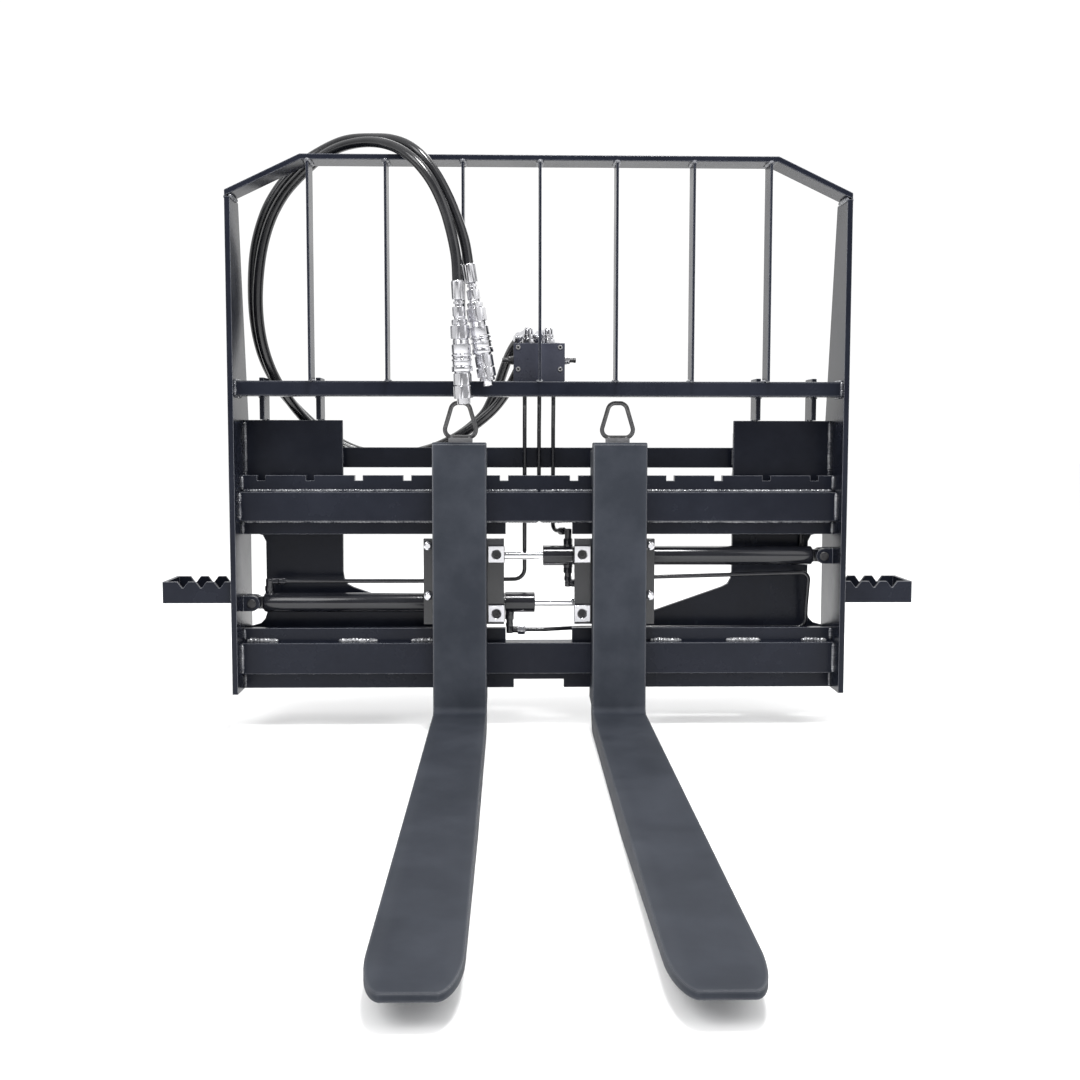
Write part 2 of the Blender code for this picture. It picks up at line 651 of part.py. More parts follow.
def valve(routes):
    """Flow divider block on its shelf behind the guard's middle bar, with two elbows on top."""
    body = block("valve_block", (-BLOCK_HALF, BLOCK_HALF), BLOCK_DEPTH, BLOCK_HEIGHT, BLACK_PAINT)
    bevelled(body, 0.0010)
    shelf = block("valve_bracket", (-0.020, 0.020), (MID_BAR_DEPTH[1] + FIT, 0.096),
                  (0.638, BLOCK_HEIGHT[0] - FIT), FRAME_PAINT)
    bevelled(shelf, 0.0006)
    stem_depth, knee = 0.094, 0.754
    for number, (x, route) in enumerate(zip((-0.020, 0.018), routes)):
        name = f"valve_elbow_{number + 1}"
        base = at(x, stem_depth, BLOCK_HEIGHT[1] + FIT)
        profile = [(0, 0.0125), (0.009, 0.0125), (0.009, 0.0105), (0.025, 0.0105), (0.030, 0.0070),
                   (0.0315, 0.0030)]
        stem = turned(name, profile, base, (0, 0, 1), ZINC, 16)
        back = (route[0] - route[1]).normalized()
        joint = route[0] + back * 0.014
        outlet = rod("outlet_" + name, at(x, stem_depth, knee), joint, 0.0080, ZINC, 12)
        nut = rod("nut_" + name, route[0] + back * FIT, joint, 0.0105, ZINC, 12)
        weld(stem, outlet, nut)


def supply_tubes():
    """Three steel tubes down from the block, and the link tube between the two glands."""
    behind = 0.115
    top = BLOCK_HEIGHT[0] - FIT
    row = 0.104
    left = [at(-0.027, row, top), at(-0.027, row, 0.6150), at(-0.027, behind, 0.5750),
            at(-0.027, behind, 0.2800), at(-0.075, 0.108, 0.2800), at(-0.140, CYLINDER_DEPTH, 0.2800),
            at(-0.4967, CYLINDER_DEPTH, 0.2800)]
    pipe("tube_left_cap", rounded(left, 0.020), TUBE_RADIUS, BLACK_PAINT)
    middle = [at(0.001, row, top), at(0.001, row, 0.6150), at(0.001, 0.125, 0.5700),
              at(0.001, 0.125, 0.4650), at(0.5150, 0.125, 0.4650), at(0.5150, 0.125, UPPER_AXIS),
              at(0.5150, 0.1083, UPPER_AXIS)]
    pipe("tube_right_cap", rounded(middle, 0.012), TUBE_RADIUS, BLACK_PAINT)
    gland_top = UPPER_AXIS + 0.0460
    right = [at(0.028, row, top), at(0.028, row, 0.6150), at(0.028, behind, 0.5750),
             at(0.028, behind, gland_top), at(0.0493 - FIT, CYLINDER_DEPTH + 0.008, gland_top)]
    pipe("tube_upper_gland", rounded(right, 0.012), TUBE_RADIUS, BLACK_PAINT)
    low = LOWER_AXIS - 0.0530
    link = [at(0.0703, CYLINDER_DEPTH, UPPER_AXIS - 0.0530), at(0.110, CYLINDER_DEPTH, UPPER_AXIS - 0.0530),
            at(0.170, CYLINDER_DEPTH, 0.2860),
            at(0.521, CYLINDER_DEPTH, 0.2960), at(0.521, 0.100, 0.2300), at(0.521, 0.104, low),
            at(0.080, 0.104, low), at(0.010, CYLINDER_DEPTH, low), at(-0.0417, CYLINDER_DEPTH, low)]
    pipe("tube_link", rounded(link, 0.016), TUBE_RADIUS, BLACK_PAINT)


# ---------------------------------------------------------------- hoses and couplers
# Each hose leaves an elbow behind the valve block, drops behind the hook crossbar, rises
# inside the left side plate, crosses over the top bar and hangs down in front of the guard.
HOSE_A = [
    at(-0.040, 0.124, 0.740), at(-0.049, 0.139, 0.728), at(-0.058, 0.153, 0.711),
    at(-0.067, 0.164, 0.688), at(-0.077, 0.172, 0.660), at(-0.091, 0.177, 0.629),
    at(-0.110, 0.179, 0.597), at(-0.154, 0.180, 0.560), at(-0.213, 0.180, 0.532),
    at(-0.282, 0.180, 0.519), at(-0.351, 0.179, 0.527), at(-0.410, 0.178, 0.556),
    at(-0.460, 0.171, 0.597), at(-0.500, 0.147, 0.646), at(-0.527, 0.130, 0.700),
    at(-0.541, 0.120, 0.760), at(-0.545, 0.115, 0.830), at(-0.539, 0.112, 0.908),
    at(-0.520, 0.109, 0.973), at(-0.493, 0.105, 1.020), at(-0.458, 0.099, 1.057),
    at(-0.412, 0.090, 1.086), at(-0.361, 0.070, 1.103), at(-0.308, 0.046, 1.102),
    at(-0.259, 0.014, 1.091), at(-0.221, -0.012, 1.066), at(-0.189, -0.019, 1.027),
    at(-0.166, -0.020, 0.985), at(-0.148, -0.021, 0.942), at(-0.1365, -0.022, 0.905),
    at(-0.1300, -0.022, 0.866),
]
HOSE_B = [
    at(-0.004, 0.118, 0.741), at(-0.014, 0.130, 0.728), at(-0.025, 0.138, 0.712),
    at(-0.037, 0.143, 0.690), at(-0.050, 0.147, 0.664), at(-0.068, 0.150, 0.633),
    at(-0.097, 0.153, 0.600), at(-0.148, 0.156, 0.562), at(-0.214, 0.157, 0.530),
    at(-0.281, 0.157, 0.515), at(-0.350, 0.158, 0.521), at(-0.409, 0.157, 0.550),
    at(-0.453, 0.150, 0.588), at(-0.487, 0.128, 0.635), at(-0.512, 0.111, 0.685),
    at(-0.527, 0.099, 0.745), at(-0.531, 0.092, 0.815), at(-0.523, 0.088, 0.892),
    at(-0.506, 0.086, 0.954), at(-0.480, 0.084, 1.003), at(-0.447, 0.081, 1.040),
    at(-0.405, 0.070, 1.073), at(-0.360, 0.053, 1.090), at(-0.311, 0.027, 1.0915),
    at(-0.267, -0.002, 1.078), at(-0.229, -0.028, 1.051), at(-0.198, -0.038, 1.014),
    at(-0.176, -0.039, 0.971), at(-0.162, -0.038, 0.927), at(-0.1520, -0.037, 0.878),
    at(-0.1495, -0.036, 0.835),
]
SLEEVE_SPAN = (0.1130, 0.1620)


def coupler(label, route):
    """Crimped hose end, adapter, socket half and plug half of a coupler, and its sleeve."""
    axis = (route[-1] - route[-2]).normalized()
    start = route[-1] + axis * FIT
    profile = [
        (0, 0.0110), (0.034, 0.0105), (0.036, 0.0070), (0.046, 0.0070), (0.047, 0.0095),
        (0.069, 0.0095), (0.070, 0.0135), (0.079, 0.0135), (0.080, 0.0178), (0.104, 0.0178),
        (0.105, 0.0148), (0.164, 0.0148), (0.165, 0.0157), (0.187, 0.0157), (0.188, 0.0165),
        (0.211, 0.0165), (0.212, 0.0120), (0.221, 0.0120),
    ]
    turned("coupler_" + label, profile, start, axis, ZINC, 20)
    near, far = SLEEVE_SPAN
    middle = start + axis * near
    bore = 0.0148 + FIT
    sleeve = [(0, bore), (0, 0.0172), (0.016, 0.0172), (0.018, 0.0186), (0.022, 0.0186), (0.023, 0.0165),
              (0.026, 0.0165), (0.027, 0.0186), (0.030, 0.0186), (0.031, 0.0168), (0.038, 0.0168),
              (0.040, 0.0193), (far - near, 0.0193), (far - near, bore)]
    turned("coupler_sleeve_" + label, sleeve, middle, axis, ZINC, 20, loop=True, origin=middle)


def hoses(routes):
    for label, route in zip(("a", "b"), routes):
        pipe("hose_" + label, route, HOSE_RADIUS, RUBBER, 2)
        coupler(label, route)


def build():
    clear_scene()
    for side in (-1, 1):
        side_plate(side)
        coupler_plate(side)
        side_step(side)
        fork(side)
        latch(side)
        carrier(side)
        clamp_blocks(side)
    guard_top_bar()
    guard_bars()
    guard_mid_bar()
    guard_ribs()
    corner_plates()
    hook_crossbar()
    upper_rail()
    lower_rail()
    cylinder("upper", 1, UPPER_AXIS)
    cylinder("lower", -1, LOWER_AXIS)
    cylinder_rod("upper", 1, UPPER_AXIS)
    cylinder_rod("lower", -1, LOWER_AXIS)
    supply_tubes()
    routes = [smooth_route(points, ROUTE_STEP) for points in (HOSE_A, HOSE_B)]
    valve(routes)
    hoses(routes)


build()
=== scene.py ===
"""Looks for the pallet fork attachment: finishes, round parts, hoses, couplers and weld beads.

Metres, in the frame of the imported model. A place is given as (x, depth, z), with depth
measured backwards from the front edges of the side plates.
"""
import itertools
import json
import math
import random

import bmesh
import bpy
from mathutils import Matrix, Vector


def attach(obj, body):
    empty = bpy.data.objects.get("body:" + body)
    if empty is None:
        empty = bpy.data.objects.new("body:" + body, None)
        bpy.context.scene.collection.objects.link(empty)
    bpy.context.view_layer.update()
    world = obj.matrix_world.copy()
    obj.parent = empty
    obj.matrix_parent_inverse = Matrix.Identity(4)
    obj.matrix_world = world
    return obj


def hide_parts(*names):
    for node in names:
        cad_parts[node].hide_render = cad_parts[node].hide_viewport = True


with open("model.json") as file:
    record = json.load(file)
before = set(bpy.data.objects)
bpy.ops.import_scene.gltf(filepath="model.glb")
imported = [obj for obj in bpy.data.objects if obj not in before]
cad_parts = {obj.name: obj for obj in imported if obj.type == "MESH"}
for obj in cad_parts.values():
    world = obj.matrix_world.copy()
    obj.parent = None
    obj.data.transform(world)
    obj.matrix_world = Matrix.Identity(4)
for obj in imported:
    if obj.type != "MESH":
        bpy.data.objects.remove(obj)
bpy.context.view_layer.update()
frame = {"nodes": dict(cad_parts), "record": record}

# ---------------------------------------------------------------- sizes shared with the CAD
FRONT_Y = 0.510
SIDES = (-1, 1)
FORK_X = 0.149
FORK_HALF_WIDTH = 0.050
FORK_LENGTH = 1.220
LATCH_DEPTH = 0.074
CLAMP_X = 0.0810
CLAMP_HEIGHTS = {"upper": 0.3353, "lower": 0.2235}
CARRIER_BOLT_X = 0.2090
CARRIER_BOLT_HEIGHTS = (0.3513, 0.2567)
CYLINDER_DEPTH = 0.080
UPPER_AXIS = 0.329
LOWER_AXIS = 0.239
EYE_X = 0.545                 # the cylinders' pins in the side plates' clevises
PORT_X = 0.5150               # the ports at the cylinders' cap ends
CAP_TUBE_HEIGHT = 0.2800
LINK_DROP = 0.0530            # from a cylinder's axis down to the link tube's end
TUBE_RADIUS = 0.0040
HOSE_RADIUS = 0.0095


def at(x, depth, z):
    return Vector((x, FRONT_Y + depth, z))


def side_name(side):
    return "left" if side < 0 else "right"


def span(side, near, far):
    return tuple(sorted((side * near, side * far)))


# ---------------------------------------------------------------- camera
LENS = 42.87
CAMERA_AT = Vector((-0.0533, -1.8657, 0.5509))
YAW, PITCH, ROLL = (math.radians(angle) for angle in (1.294, 4.477, 0.082))


def make_camera():
    data = bpy.data.cameras.new("camera")
    data.lens = LENS
    data.sensor_width = 36
    data.sensor_fit = "HORIZONTAL"
    forward = Vector((math.sin(YAW) * math.cos(PITCH), math.cos(YAW) * math.cos(PITCH), -math.sin(PITCH)))
    level = Vector((math.cos(YAW), -math.sin(YAW), 0))
    upright = level.cross(forward)
    right = level * math.cos(ROLL) + upright * math.sin(ROLL)
    up = upright * math.cos(ROLL) - level * math.sin(ROLL)
    turn = Matrix((right, up, -forward)).transposed()
    camera = bpy.data.objects.new("camera", data)
    camera.matrix_world = Matrix.Translation(CAMERA_AT) @ turn.to_4x4()
    bpy.context.scene.collection.objects.link(camera)
    bpy.context.scene.camera = camera


# ---------------------------------------------------------------- materials
def link(tree, source, target):
    tree.links.new(source, target)


GRAIN_HEIGHT = 0.0003


def material(name, colour, roughness, metallic=0.0, second=None, patch=7.0, spread=0.06, grain=420.0,
             bump=0.05, edge=None, edge_share=0.5, round_off=0.0012, specular=0.5,
             coat=0.0, stretch=(1, 1, 1)):
    """A finish with uneven colour and gloss, a fine surface grain, and edges lightened partly as wear and
    partly as a painted highlight.
    """
    made = bpy.data.materials.new(name)
    made.use_nodes = True
    tree = made.node_tree
    nodes = tree.nodes
    shader = nodes["Principled BSDF"]
    shader.inputs["Metallic"].default_value = metallic
    shader.inputs["Specular IOR Level"].default_value = specular
    shader.inputs["Coat Weight"].default_value = coat
    shader.inputs["Coat Roughness"].default_value = 0.12

    place = nodes.new("ShaderNodeTexCoord")
    scale = nodes.new("ShaderNodeMapping")
    scale.inputs["Scale"].default_value = stretch
    link(tree, place.outputs["Object"], scale.inputs["Vector"])

    patches = nodes.new("ShaderNodeTexNoise")
    patches.inputs["Scale"].default_value = patch
    patches.inputs["Detail"].default_value = 6.0
    patches.inputs["Roughness"].default_value = 0.62
    link(tree, scale.outputs["Vector"], patches.inputs["Vector"])

    tint = nodes.new("ShaderNodeMix")
    tint.data_type = "RGBA"
    tint.inputs["A"].default_value = (*colour, 1)
    tint.inputs["B"].default_value = (*(second or [c * 1.3 for c in colour]), 1)
    strength = nodes.new("ShaderNodeMapRange")
    strength.inputs["From Min"].default_value = 0.38
    strength.inputs["From Max"].default_value = 0.68
    link(tree, patches.outputs["Fac"], strength.inputs["Value"])
    link(tree, strength.outputs["Result"], tint.inputs["Factor"])
    surface_colour = tint.outputs["Result"]

    gloss = nodes.new("ShaderNodeMapRange")
    gloss.inputs["From Min"].default_value = 0.3
    gloss.inputs["From Max"].default_value = 0.7
    gloss.inputs["To Min"].default_value = max(0.02, roughness - spread)
    gloss.inputs["To Max"].default_value = roughness + spread
    link(tree, patches.outputs["Fac"], gloss.inputs["Value"])
    link(tree, gloss.outputs["Result"], shader.inputs["Roughness"])

    fine = nodes.new("ShaderNodeTexNoise")
    fine.inputs["Scale"].default_value = grain
    fine.inputs["Detail"].default_value = 3.0
    link(tree, scale.outputs["Vector"], fine.inputs["Vector"])
    raised = nodes.new("ShaderNodeBump")
    raised.inputs["Strength"].default_value = bump
    raised.inputs["Distance"].default_value = GRAIN_HEIGHT
    link(tree, fine.outputs["Fac"], raised.inputs["Height"])
    link(tree, raised.outputs["Normal"], shader.inputs["Normal"])

    if round_off:
        bevel = nodes.new("ShaderNodeBevel")
        bevel.samples = 4
        bevel.inputs["Radius"].default_value = round_off
        link(tree, bevel.outputs["Normal"], raised.inputs["Normal"])
        if edge:
            flat = nodes.new("ShaderNodeNewGeometry")
            bend = nodes.new("ShaderNodeVectorMath")
            bend.operation = "DOT_PRODUCT"
            link(tree, bevel.outputs["Normal"], bend.inputs[0])
            link(tree, flat.outputs["True Normal"], bend.inputs[1])
            # Edge mask: edges are lightened partly as wear and partly as a painted highlight where edges
            # catch the light.
            edge_wear_and_highlight = nodes.new("ShaderNodeMapRange")
            edge_wear_and_highlight.inputs["From Min"].default_value = 0.995
            edge_wear_and_highlight.inputs["From Max"].default_value = 0.86
            edge_wear_and_highlight.inputs["To Max"].default_value = edge_share
            link(tree, bend.outputs["Value"], edge_wear_and_highlight.inputs["Value"])
            edge_wear_and_highlight_mix = nodes.new("ShaderNodeMix")
            edge_wear_and_highlight_mix.data_type = "RGBA"
            edge_wear_and_highlight_mix.inputs["B"].default_value = (*edge, 1)
            link(tree, edge_wear_and_highlight.outputs["Result"], edge_wear_and_highlight_mix.inputs["Factor"])
            link(tree, surface_colour, edge_wear_and_highlight_mix.inputs["A"])
            surface_colour = edge_wear_and_highlight_mix.outputs["Result"]
    link(tree, surface_colour, shader.inputs["Base Color"])
    return made


# The edge colours below lighten edges partly as wear and partly as a painted highlight.
FRAME_PAINT = material("frame_paint_looks", (0.0070, 0.0084, 0.0140), 0.25, second=(0.0130, 0.0150, 0.0230),
                       patch=5.0, spread=0.06, edge=(0.27, 0.28, 0.31), edge_share=0.75,
                       round_off=0.0016, specular=0.14)
# Weld beads are coloured lighter than the frame, with light patches as painted highlights on the ripples.
WELD_PAINT_WITH_GLINTS = material("weld_paint_with_painted_glints", (0.0350, 0.0380, 0.0500), 0.20, second=(0.2400, 0.2450, 0.2600),
                      patch=60.0, spread=0.08, grain=900.0, bump=0.25, round_off=0.0, specular=0.8,
                      coat=0.6)
# Stitch beads are coloured light grey to near white as a painted highlight.
STITCH_WELD_HIGHLIGHT = material("stitch_weld_painted_highlight", (0.1800, 0.1850, 0.2000), 0.22, 0.5,
                        second=(0.6000, 0.6050, 0.6200), patch=110.0, spread=0.08, grain=900.0, bump=0.3,
                        round_off=0.0, specular=0.8, coat=0.6)
FORK_PAINT = material("fork_paint_looks", (0.0250, 0.0285, 0.0365), 0.60, second=(0.0385, 0.0430, 0.0535),
                      patch=9.0, spread=0.06, grain=700.0, bump=0.10, edge=(0.26, 0.265, 0.28),
                      edge_share=0.75, round_off=0.0028, specular=0.08)
BLACK_PAINT = material("black_paint_looks", (0.0065, 0.0070, 0.0095), 0.17, second=(0.0105, 0.0112, 0.0150),
                       patch=12.0, spread=0.05, grain=600.0, edge=(0.06, 0.06, 0.07), edge_share=0.4,
                       specular=0.60)
BLOCK_PAINT = material("block_paint_looks", (0.0360, 0.0390, 0.0560), 0.30, second=(0.0450, 0.0480, 0.0680),
                       patch=20.0, spread=0.06, grain=600.0, edge=(0.12, 0.12, 0.14), edge_share=0.5,
                       specular=0.3)
CHROME = material("chrome_looks", (0.86, 0.86, 0.87), 0.07, 1.0, second=(0.80, 0.80, 0.82), patch=15.0,
                  spread=0.02, grain=60.0, bump=0.02, round_off=0.0, stretch=(1, 30, 30))
ZINC = material("zinc_looks", (0.66, 0.66, 0.68), 0.17, 1.0, second=(0.57, 0.57, 0.60), patch=14.0,
                spread=0.03, grain=500.0, bump=0.02, edge=(0.92, 0.92, 0.93), edge_share=0.5,
                round_off=0.0005)
RAW_STEEL = material("raw_steel_looks", (0.100, 0.100, 0.105), 0.42, 0.6, second=(0.17, 0.168, 0.165),
                     patch=80.0, spread=0.10, grain=300.0, bump=0.25, edge=(0.34, 0.34, 0.34),
                     edge_share=0.5, round_off=0.0006)
LATCH_PLATE = material("latch_plate_looks", (0.50, 0.50, 0.51), 0.36, 0.9, second=(0.34, 0.34, 0.35),
                       patch=60.0, spread=0.10, grain=300.0, bump=0.2, edge=(0.7, 0.7, 0.7),
                       round_off=0.0006)
RUBBER = material("hose_cover_looks", (0.0045, 0.0047, 0.0060), 0.22, second=(0.0080, 0.0082, 0.0100),
                  patch=25.0, spread=0.05, grain=900.0, bump=0.06, round_off=0.0, specular=0.8)
SOCKET_STEEL = material("socket_screw_looks", (0.022, 0.022, 0.024), 0.32, 0.4, second=(0.05, 0.05, 0.052),
                        patch=90.0, spread=0.08, grain=500.0, edge=(0.2, 0.2, 0.2), round_off=0.0003)
FINISHES = {
    "frame_paint": FRAME_PAINT, "fork_paint": FORK_PAINT, "black_paint": BLACK_PAINT, "chrome": CHROME,
    "zinc": ZINC, "raw_steel": RAW_STEEL, "hose_rubber": RUBBER,
}


def finish_cad_nodes():
    """Give every CAD node that stays in view the finish of its material slot."""
    for row in frame["record"]["subparts"]:
        node = frame["nodes"].get(row["node"])
        if node is None:
            continue
        if not node.material_slots:
            node.data.materials.append(None)
        for place in node.material_slots:
            place.link = "OBJECT"
            place.material = FINISHES[row["material_slot"]]


# ---------------------------------------------------------------- shape building
def section(kind, radius, angle):
    """Radius of a cross-section at an angle: round, hex, square, crimped or knurled."""
    if kind == "round":
        return radius
    if kind.startswith("hex"):
        cut = {"hex": 1.0, "hex_end": 0.90}[kind]
        turn = (angle + math.radians(30)) % math.radians(60) - math.radians(30)
        return min(radius * math.cos(math.radians(30)) / math.cos(turn), radius * cut)
    if kind == "square":
        return radius / max(abs(math.cos(angle)), abs(math.sin(angle)))
    if kind == "crimp":
        return radius * (1 - 0.10 * (0.5 + 0.5 * math.cos(8 * angle)) ** 5)
    if kind == "knurl":
        return radius * (1 - 0.022 * (0.5 + 0.5 * math.cos(32 * angle)))
    raise ValueError(kind)


def hexagon(near, far, radius):
    """Rows of a chamfered hexagon, radius over its corners."""
    chamfer = min(0.0012, (far - near) / 3)
    return [(near, radius, "hex_end"), (near + chamfer, radius, "hex"), (far - chamfer, radius, "hex"),
            (far, radius, "hex_end")]


SHARP_ANGLE = math.radians(35)


class Shape:
    """One mesh made of several closed bodies."""

    def __init__(self):
        self.mesh = bmesh.new()

    def rings(self, rings, closed):
        bands = list(zip(rings, rings[1:]))
        if closed:
            bands.append((rings[-1], rings[0]))
        else:
            self.mesh.faces.new(list(reversed(rings[0])))
            self.mesh.faces.new(rings[-1])
        for near, far in bands:
            for step in range(len(near)):
                after = (step + 1) % len(near)
                self.mesh.faces.new((near[step], near[after], far[after], far[step]))

    def turned(self, rows, start, axis, sides=48, across=None, closed=False):
        """Rows are (distance, radius) or (distance, radius, section kind) along the axis."""
        axis = Vector(axis).normalized()
        across = Vector(across) if across else axis.orthogonal()
        across = (across - axis * across.dot(axis)).normalized()
        other = axis.cross(across)
        rings = []
        for row in rows:
            distance, radius, kind = row if len(row) == 3 else (*row, "round")
            ring = []
            for step in range(sides):
                angle = 2 * math.pi * step / sides
                reach = section(kind, radius, angle)
                offset = across * math.cos(angle) + other * math.sin(angle)
                ring.append(self.mesh.verts.new(start + axis * distance + offset * reach))
            rings.append(ring)
        self.rings(rings, closed)
        return self

    def sweep(self, points, radius, sides=16, closed=False):
        """A round section carried along a path; radius is a number or one number for each point."""
        count = len(points)
        radii = radius if isinstance(radius, list) else [radius] * count
        rings = []
        across = None
        for i, point in enumerate(points):
            if closed:
                along = (points[(i + 1) % count] - points[i - 1]).normalized()
            else:
                along = (points[min(i + 1, count - 1)] - points[max(i - 1, 0)]).normalized()
            across = along.orthogonal() if across is None else across
            across = (across - along * across.dot(along)).normalized()
            other = along.cross(across)
            ring = []
            for step in range(sides):
                angle = 2 * math.pi * step / sides
                offset = across * math.cos(angle) + other * math.sin(angle)
                ring.append(self.mesh.verts.new(point + offset * radii[i]))
            rings.append(ring)
        self.rings(rings, closed)
        return self

    def box(self, x, depth, z, bevel=0.001, segments=2):
        corners = [self.mesh.verts.new(at(a, b, c)) for a in x for b in depth for c in z]
        faces = []
        for quad in ((0, 1, 3, 2), (4, 6, 7, 5), (0, 4, 5, 1), (2, 3, 7, 6), (0, 2, 6, 4), (1, 5, 7, 3)):
            faces.append(self.mesh.faces.new([corners[i] for i in quad]))
        if bevel:
            edges = list(dict.fromkeys(edge for face in faces for edge in face.edges))
            bmesh.ops.bevel(self.mesh, geom=edges, offset=bevel, segments=segments, profile=0.7,
                            affect="EDGES", clamp_overlap=True)
        return self

    def prism(self, plane, outline, low, high):
        """An outline of (depth, z) carried along x, or of (x, depth) carried upwards."""
        places = {
            "side": lambda a, b, level: at(level, a, b),
            "plan": lambda a, b, level: at(a, b, level),
        }
        first = [self.mesh.verts.new(places[plane](a, b, low)) for a, b in outline]
        last = [self.mesh.verts.new(places[plane](a, b, high)) for a, b in outline]
        self.rings([first, last], False)
        return self

    def bead(self, x, depth, z, radius, seed, pitch=0.0045, wander=0.0004):
        """A rippled weld bead along whichever of x, depth and z is a pair, tapering at both ends."""
        ends = [value if isinstance(value, tuple) else (value, value) for value in (x, depth, z)]
        start, end = (at(*place) for place in zip(*ends))
        draw = random.Random(seed)
        length = (end - start).length
        steps = max(8, int(length / pitch) * 4)
        points, radii = [], []
        drift = Vector((0, 0, 0))
        for step in range(steps + 1):
            share = step / steps
            drift = drift * 0.8 + Vector([draw.uniform(-1, 1) for _ in range(3)]) * wander * 0.4
            points.append(start.lerp(end, share) + drift)
            from_end = min(share, 1 - share) * length
            taper = min(1.0, 0.35 + 0.65 * math.sqrt(min(1.0, from_end / (radius * 1.6))))
            ripple = 1 + 0.13 * math.sin(2 * math.pi * share * length / pitch)
            radii.append(radius * taper * ripple * draw.uniform(0.96, 1.05))
        return self.sweep(points, radii, 10)

    def piece(self, name, body, slot, finish=None, replaces=()):
        bmesh.ops.recalc_face_normals(self.mesh, faces=self.mesh.faces)
        data = bpy.data.meshes.new(name)
        self.mesh.to_mesh(data)
        self.mesh.free()
        data.materials.append(finish or FINISHES[slot])
        data.shade_smooth()
        data.set_sharp_from_angle(angle=SHARP_ANGLE)
        item = bpy.data.objects.new(name, data)
        bpy.context.scene.collection.objects.link(item)
        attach(item, body)
        if replaces:
            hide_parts(*replaces)
        return item


# First seeds of the weld beads; each bead of a group has the next one.
CAP_SEED = 7
FORK_SEED = 40
RAIL_SEED = 100
GUARD_SEED = 123
REAR_SEED = 197


def arc(centre, radius, start, end, steps):
    """Points on an arc, angles in degrees."""
    points = []
    for step in range(steps + 1):
        angle = math.radians(start + (end - start) * step / steps)
        points.append((centre[0] + radius * math.cos(angle), centre[1] + radius * math.sin(angle)))
    return points


def rounded(corners, radius, steps=10, closed=False):
    """A path through 3-D corners with its bends rounded."""
    count = len(corners)
    points = []
    for i, corner in enumerate(corners):
        if not closed and i in (0, count - 1):
            points.append(corner)
            continue
        before = (corners[i - 1] - corner).normalized()
        after = (corners[(i + 1) % count] - corner).normalized()
        half = before.angle(after) / 2
        reach = radius / math.tan(half)
        middle = corner + (before + after).normalized() * (radius / math.sin(half))
        first = corner + before * reach - middle
        last = corner + after * reach - middle
        for step in range(steps + 1):
            points.append(middle + first.slerp(last, step / steps) * radius)
    return points


# ---------------------------------------------------------------- hoses and couplers
HOSE_ROUTES = {
    "a": [
        at(-0.040, 0.124, 0.740), at(-0.049, 0.139, 0.728), at(-0.058, 0.153, 0.711),
        at(-0.067, 0.164, 0.688), at(-0.077, 0.172, 0.660), at(-0.091, 0.177, 0.629),
        at(-0.110, 0.179, 0.597), at(-0.154, 0.180, 0.560), at(-0.213, 0.180, 0.532),
        at(-0.282, 0.180, 0.519), at(-0.351, 0.179, 0.527), at(-0.410, 0.178, 0.556),
        at(-0.460, 0.171, 0.597), at(-0.500, 0.147, 0.646), at(-0.527, 0.130, 0.700),
        at(-0.541, 0.120, 0.760), at(-0.545, 0.115, 0.830), at(-0.539, 0.112, 0.908),
        at(-0.520, 0.109, 0.973), at(-0.493, 0.105, 1.020), at(-0.458, 0.099, 1.057),
        at(-0.412, 0.090, 1.086), at(-0.361, 0.070, 1.103), at(-0.308, 0.046, 1.102),
        at(-0.259, 0.014, 1.091), at(-0.221, -0.012, 1.066), at(-0.189, -0.019, 1.027),
        at(-0.166, -0.020, 0.985), at(-0.148, -0.021, 0.942), at(-0.1365, -0.022, 0.905),
        at(-0.1300, -0.022, 0.866),
    ],
    "b": [
        at(-0.004, 0.118, 0.741), at(-0.014, 0.130, 0.728), at(-0.025, 0.138, 0.712),
        at(-0.037, 0.143, 0.690), at(-0.050, 0.147, 0.664), at(-0.068, 0.150, 0.633),
        at(-0.097, 0.153, 0.600), at(-0.148, 0.156, 0.562), at(-0.214, 0.157, 0.530),
        at(-0.281, 0.157, 0.515), at(-0.350, 0.158, 0.521), at(-0.409, 0.157, 0.550),
        at(-0.453, 0.150, 0.588), at(-0.487, 0.128, 0.635), at(-0.512, 0.111, 0.685),
        at(-0.527, 0.099, 0.745), at(-0.531, 0.092, 0.815), at(-0.523, 0.088, 0.892),
        at(-0.506, 0.086, 0.954), at(-0.480, 0.084, 1.003), at(-0.447, 0.081, 1.040),
        at(-0.405, 0.070, 1.073), at(-0.360, 0.053, 1.090), at(-0.311, 0.027, 1.0915),
        at(-0.267, -0.002, 1.078), at(-0.229, -0.028, 1.051), at(-0.198, -0.038, 1.014),
        at(-0.176, -0.039, 0.971), at(-0.162, -0.038, 0.927), at(-0.1520, -0.037, 0.878),
        at(-0.1495, -0.036, 0.835),
    ],
}
COUPLER_AXES = {"a": Vector((0.16179, 0.0005, -0.98682)), "b": Vector((0.04946, 0.02339, -0.9985))}
SLEEVE_START = 0.1130
INSERT_REACH = (0.006, 0.028, 0.076)      # the hose's core runs on inside the coupler
INSERT_THICKNESS = (1.0, 0.55, 0.50)


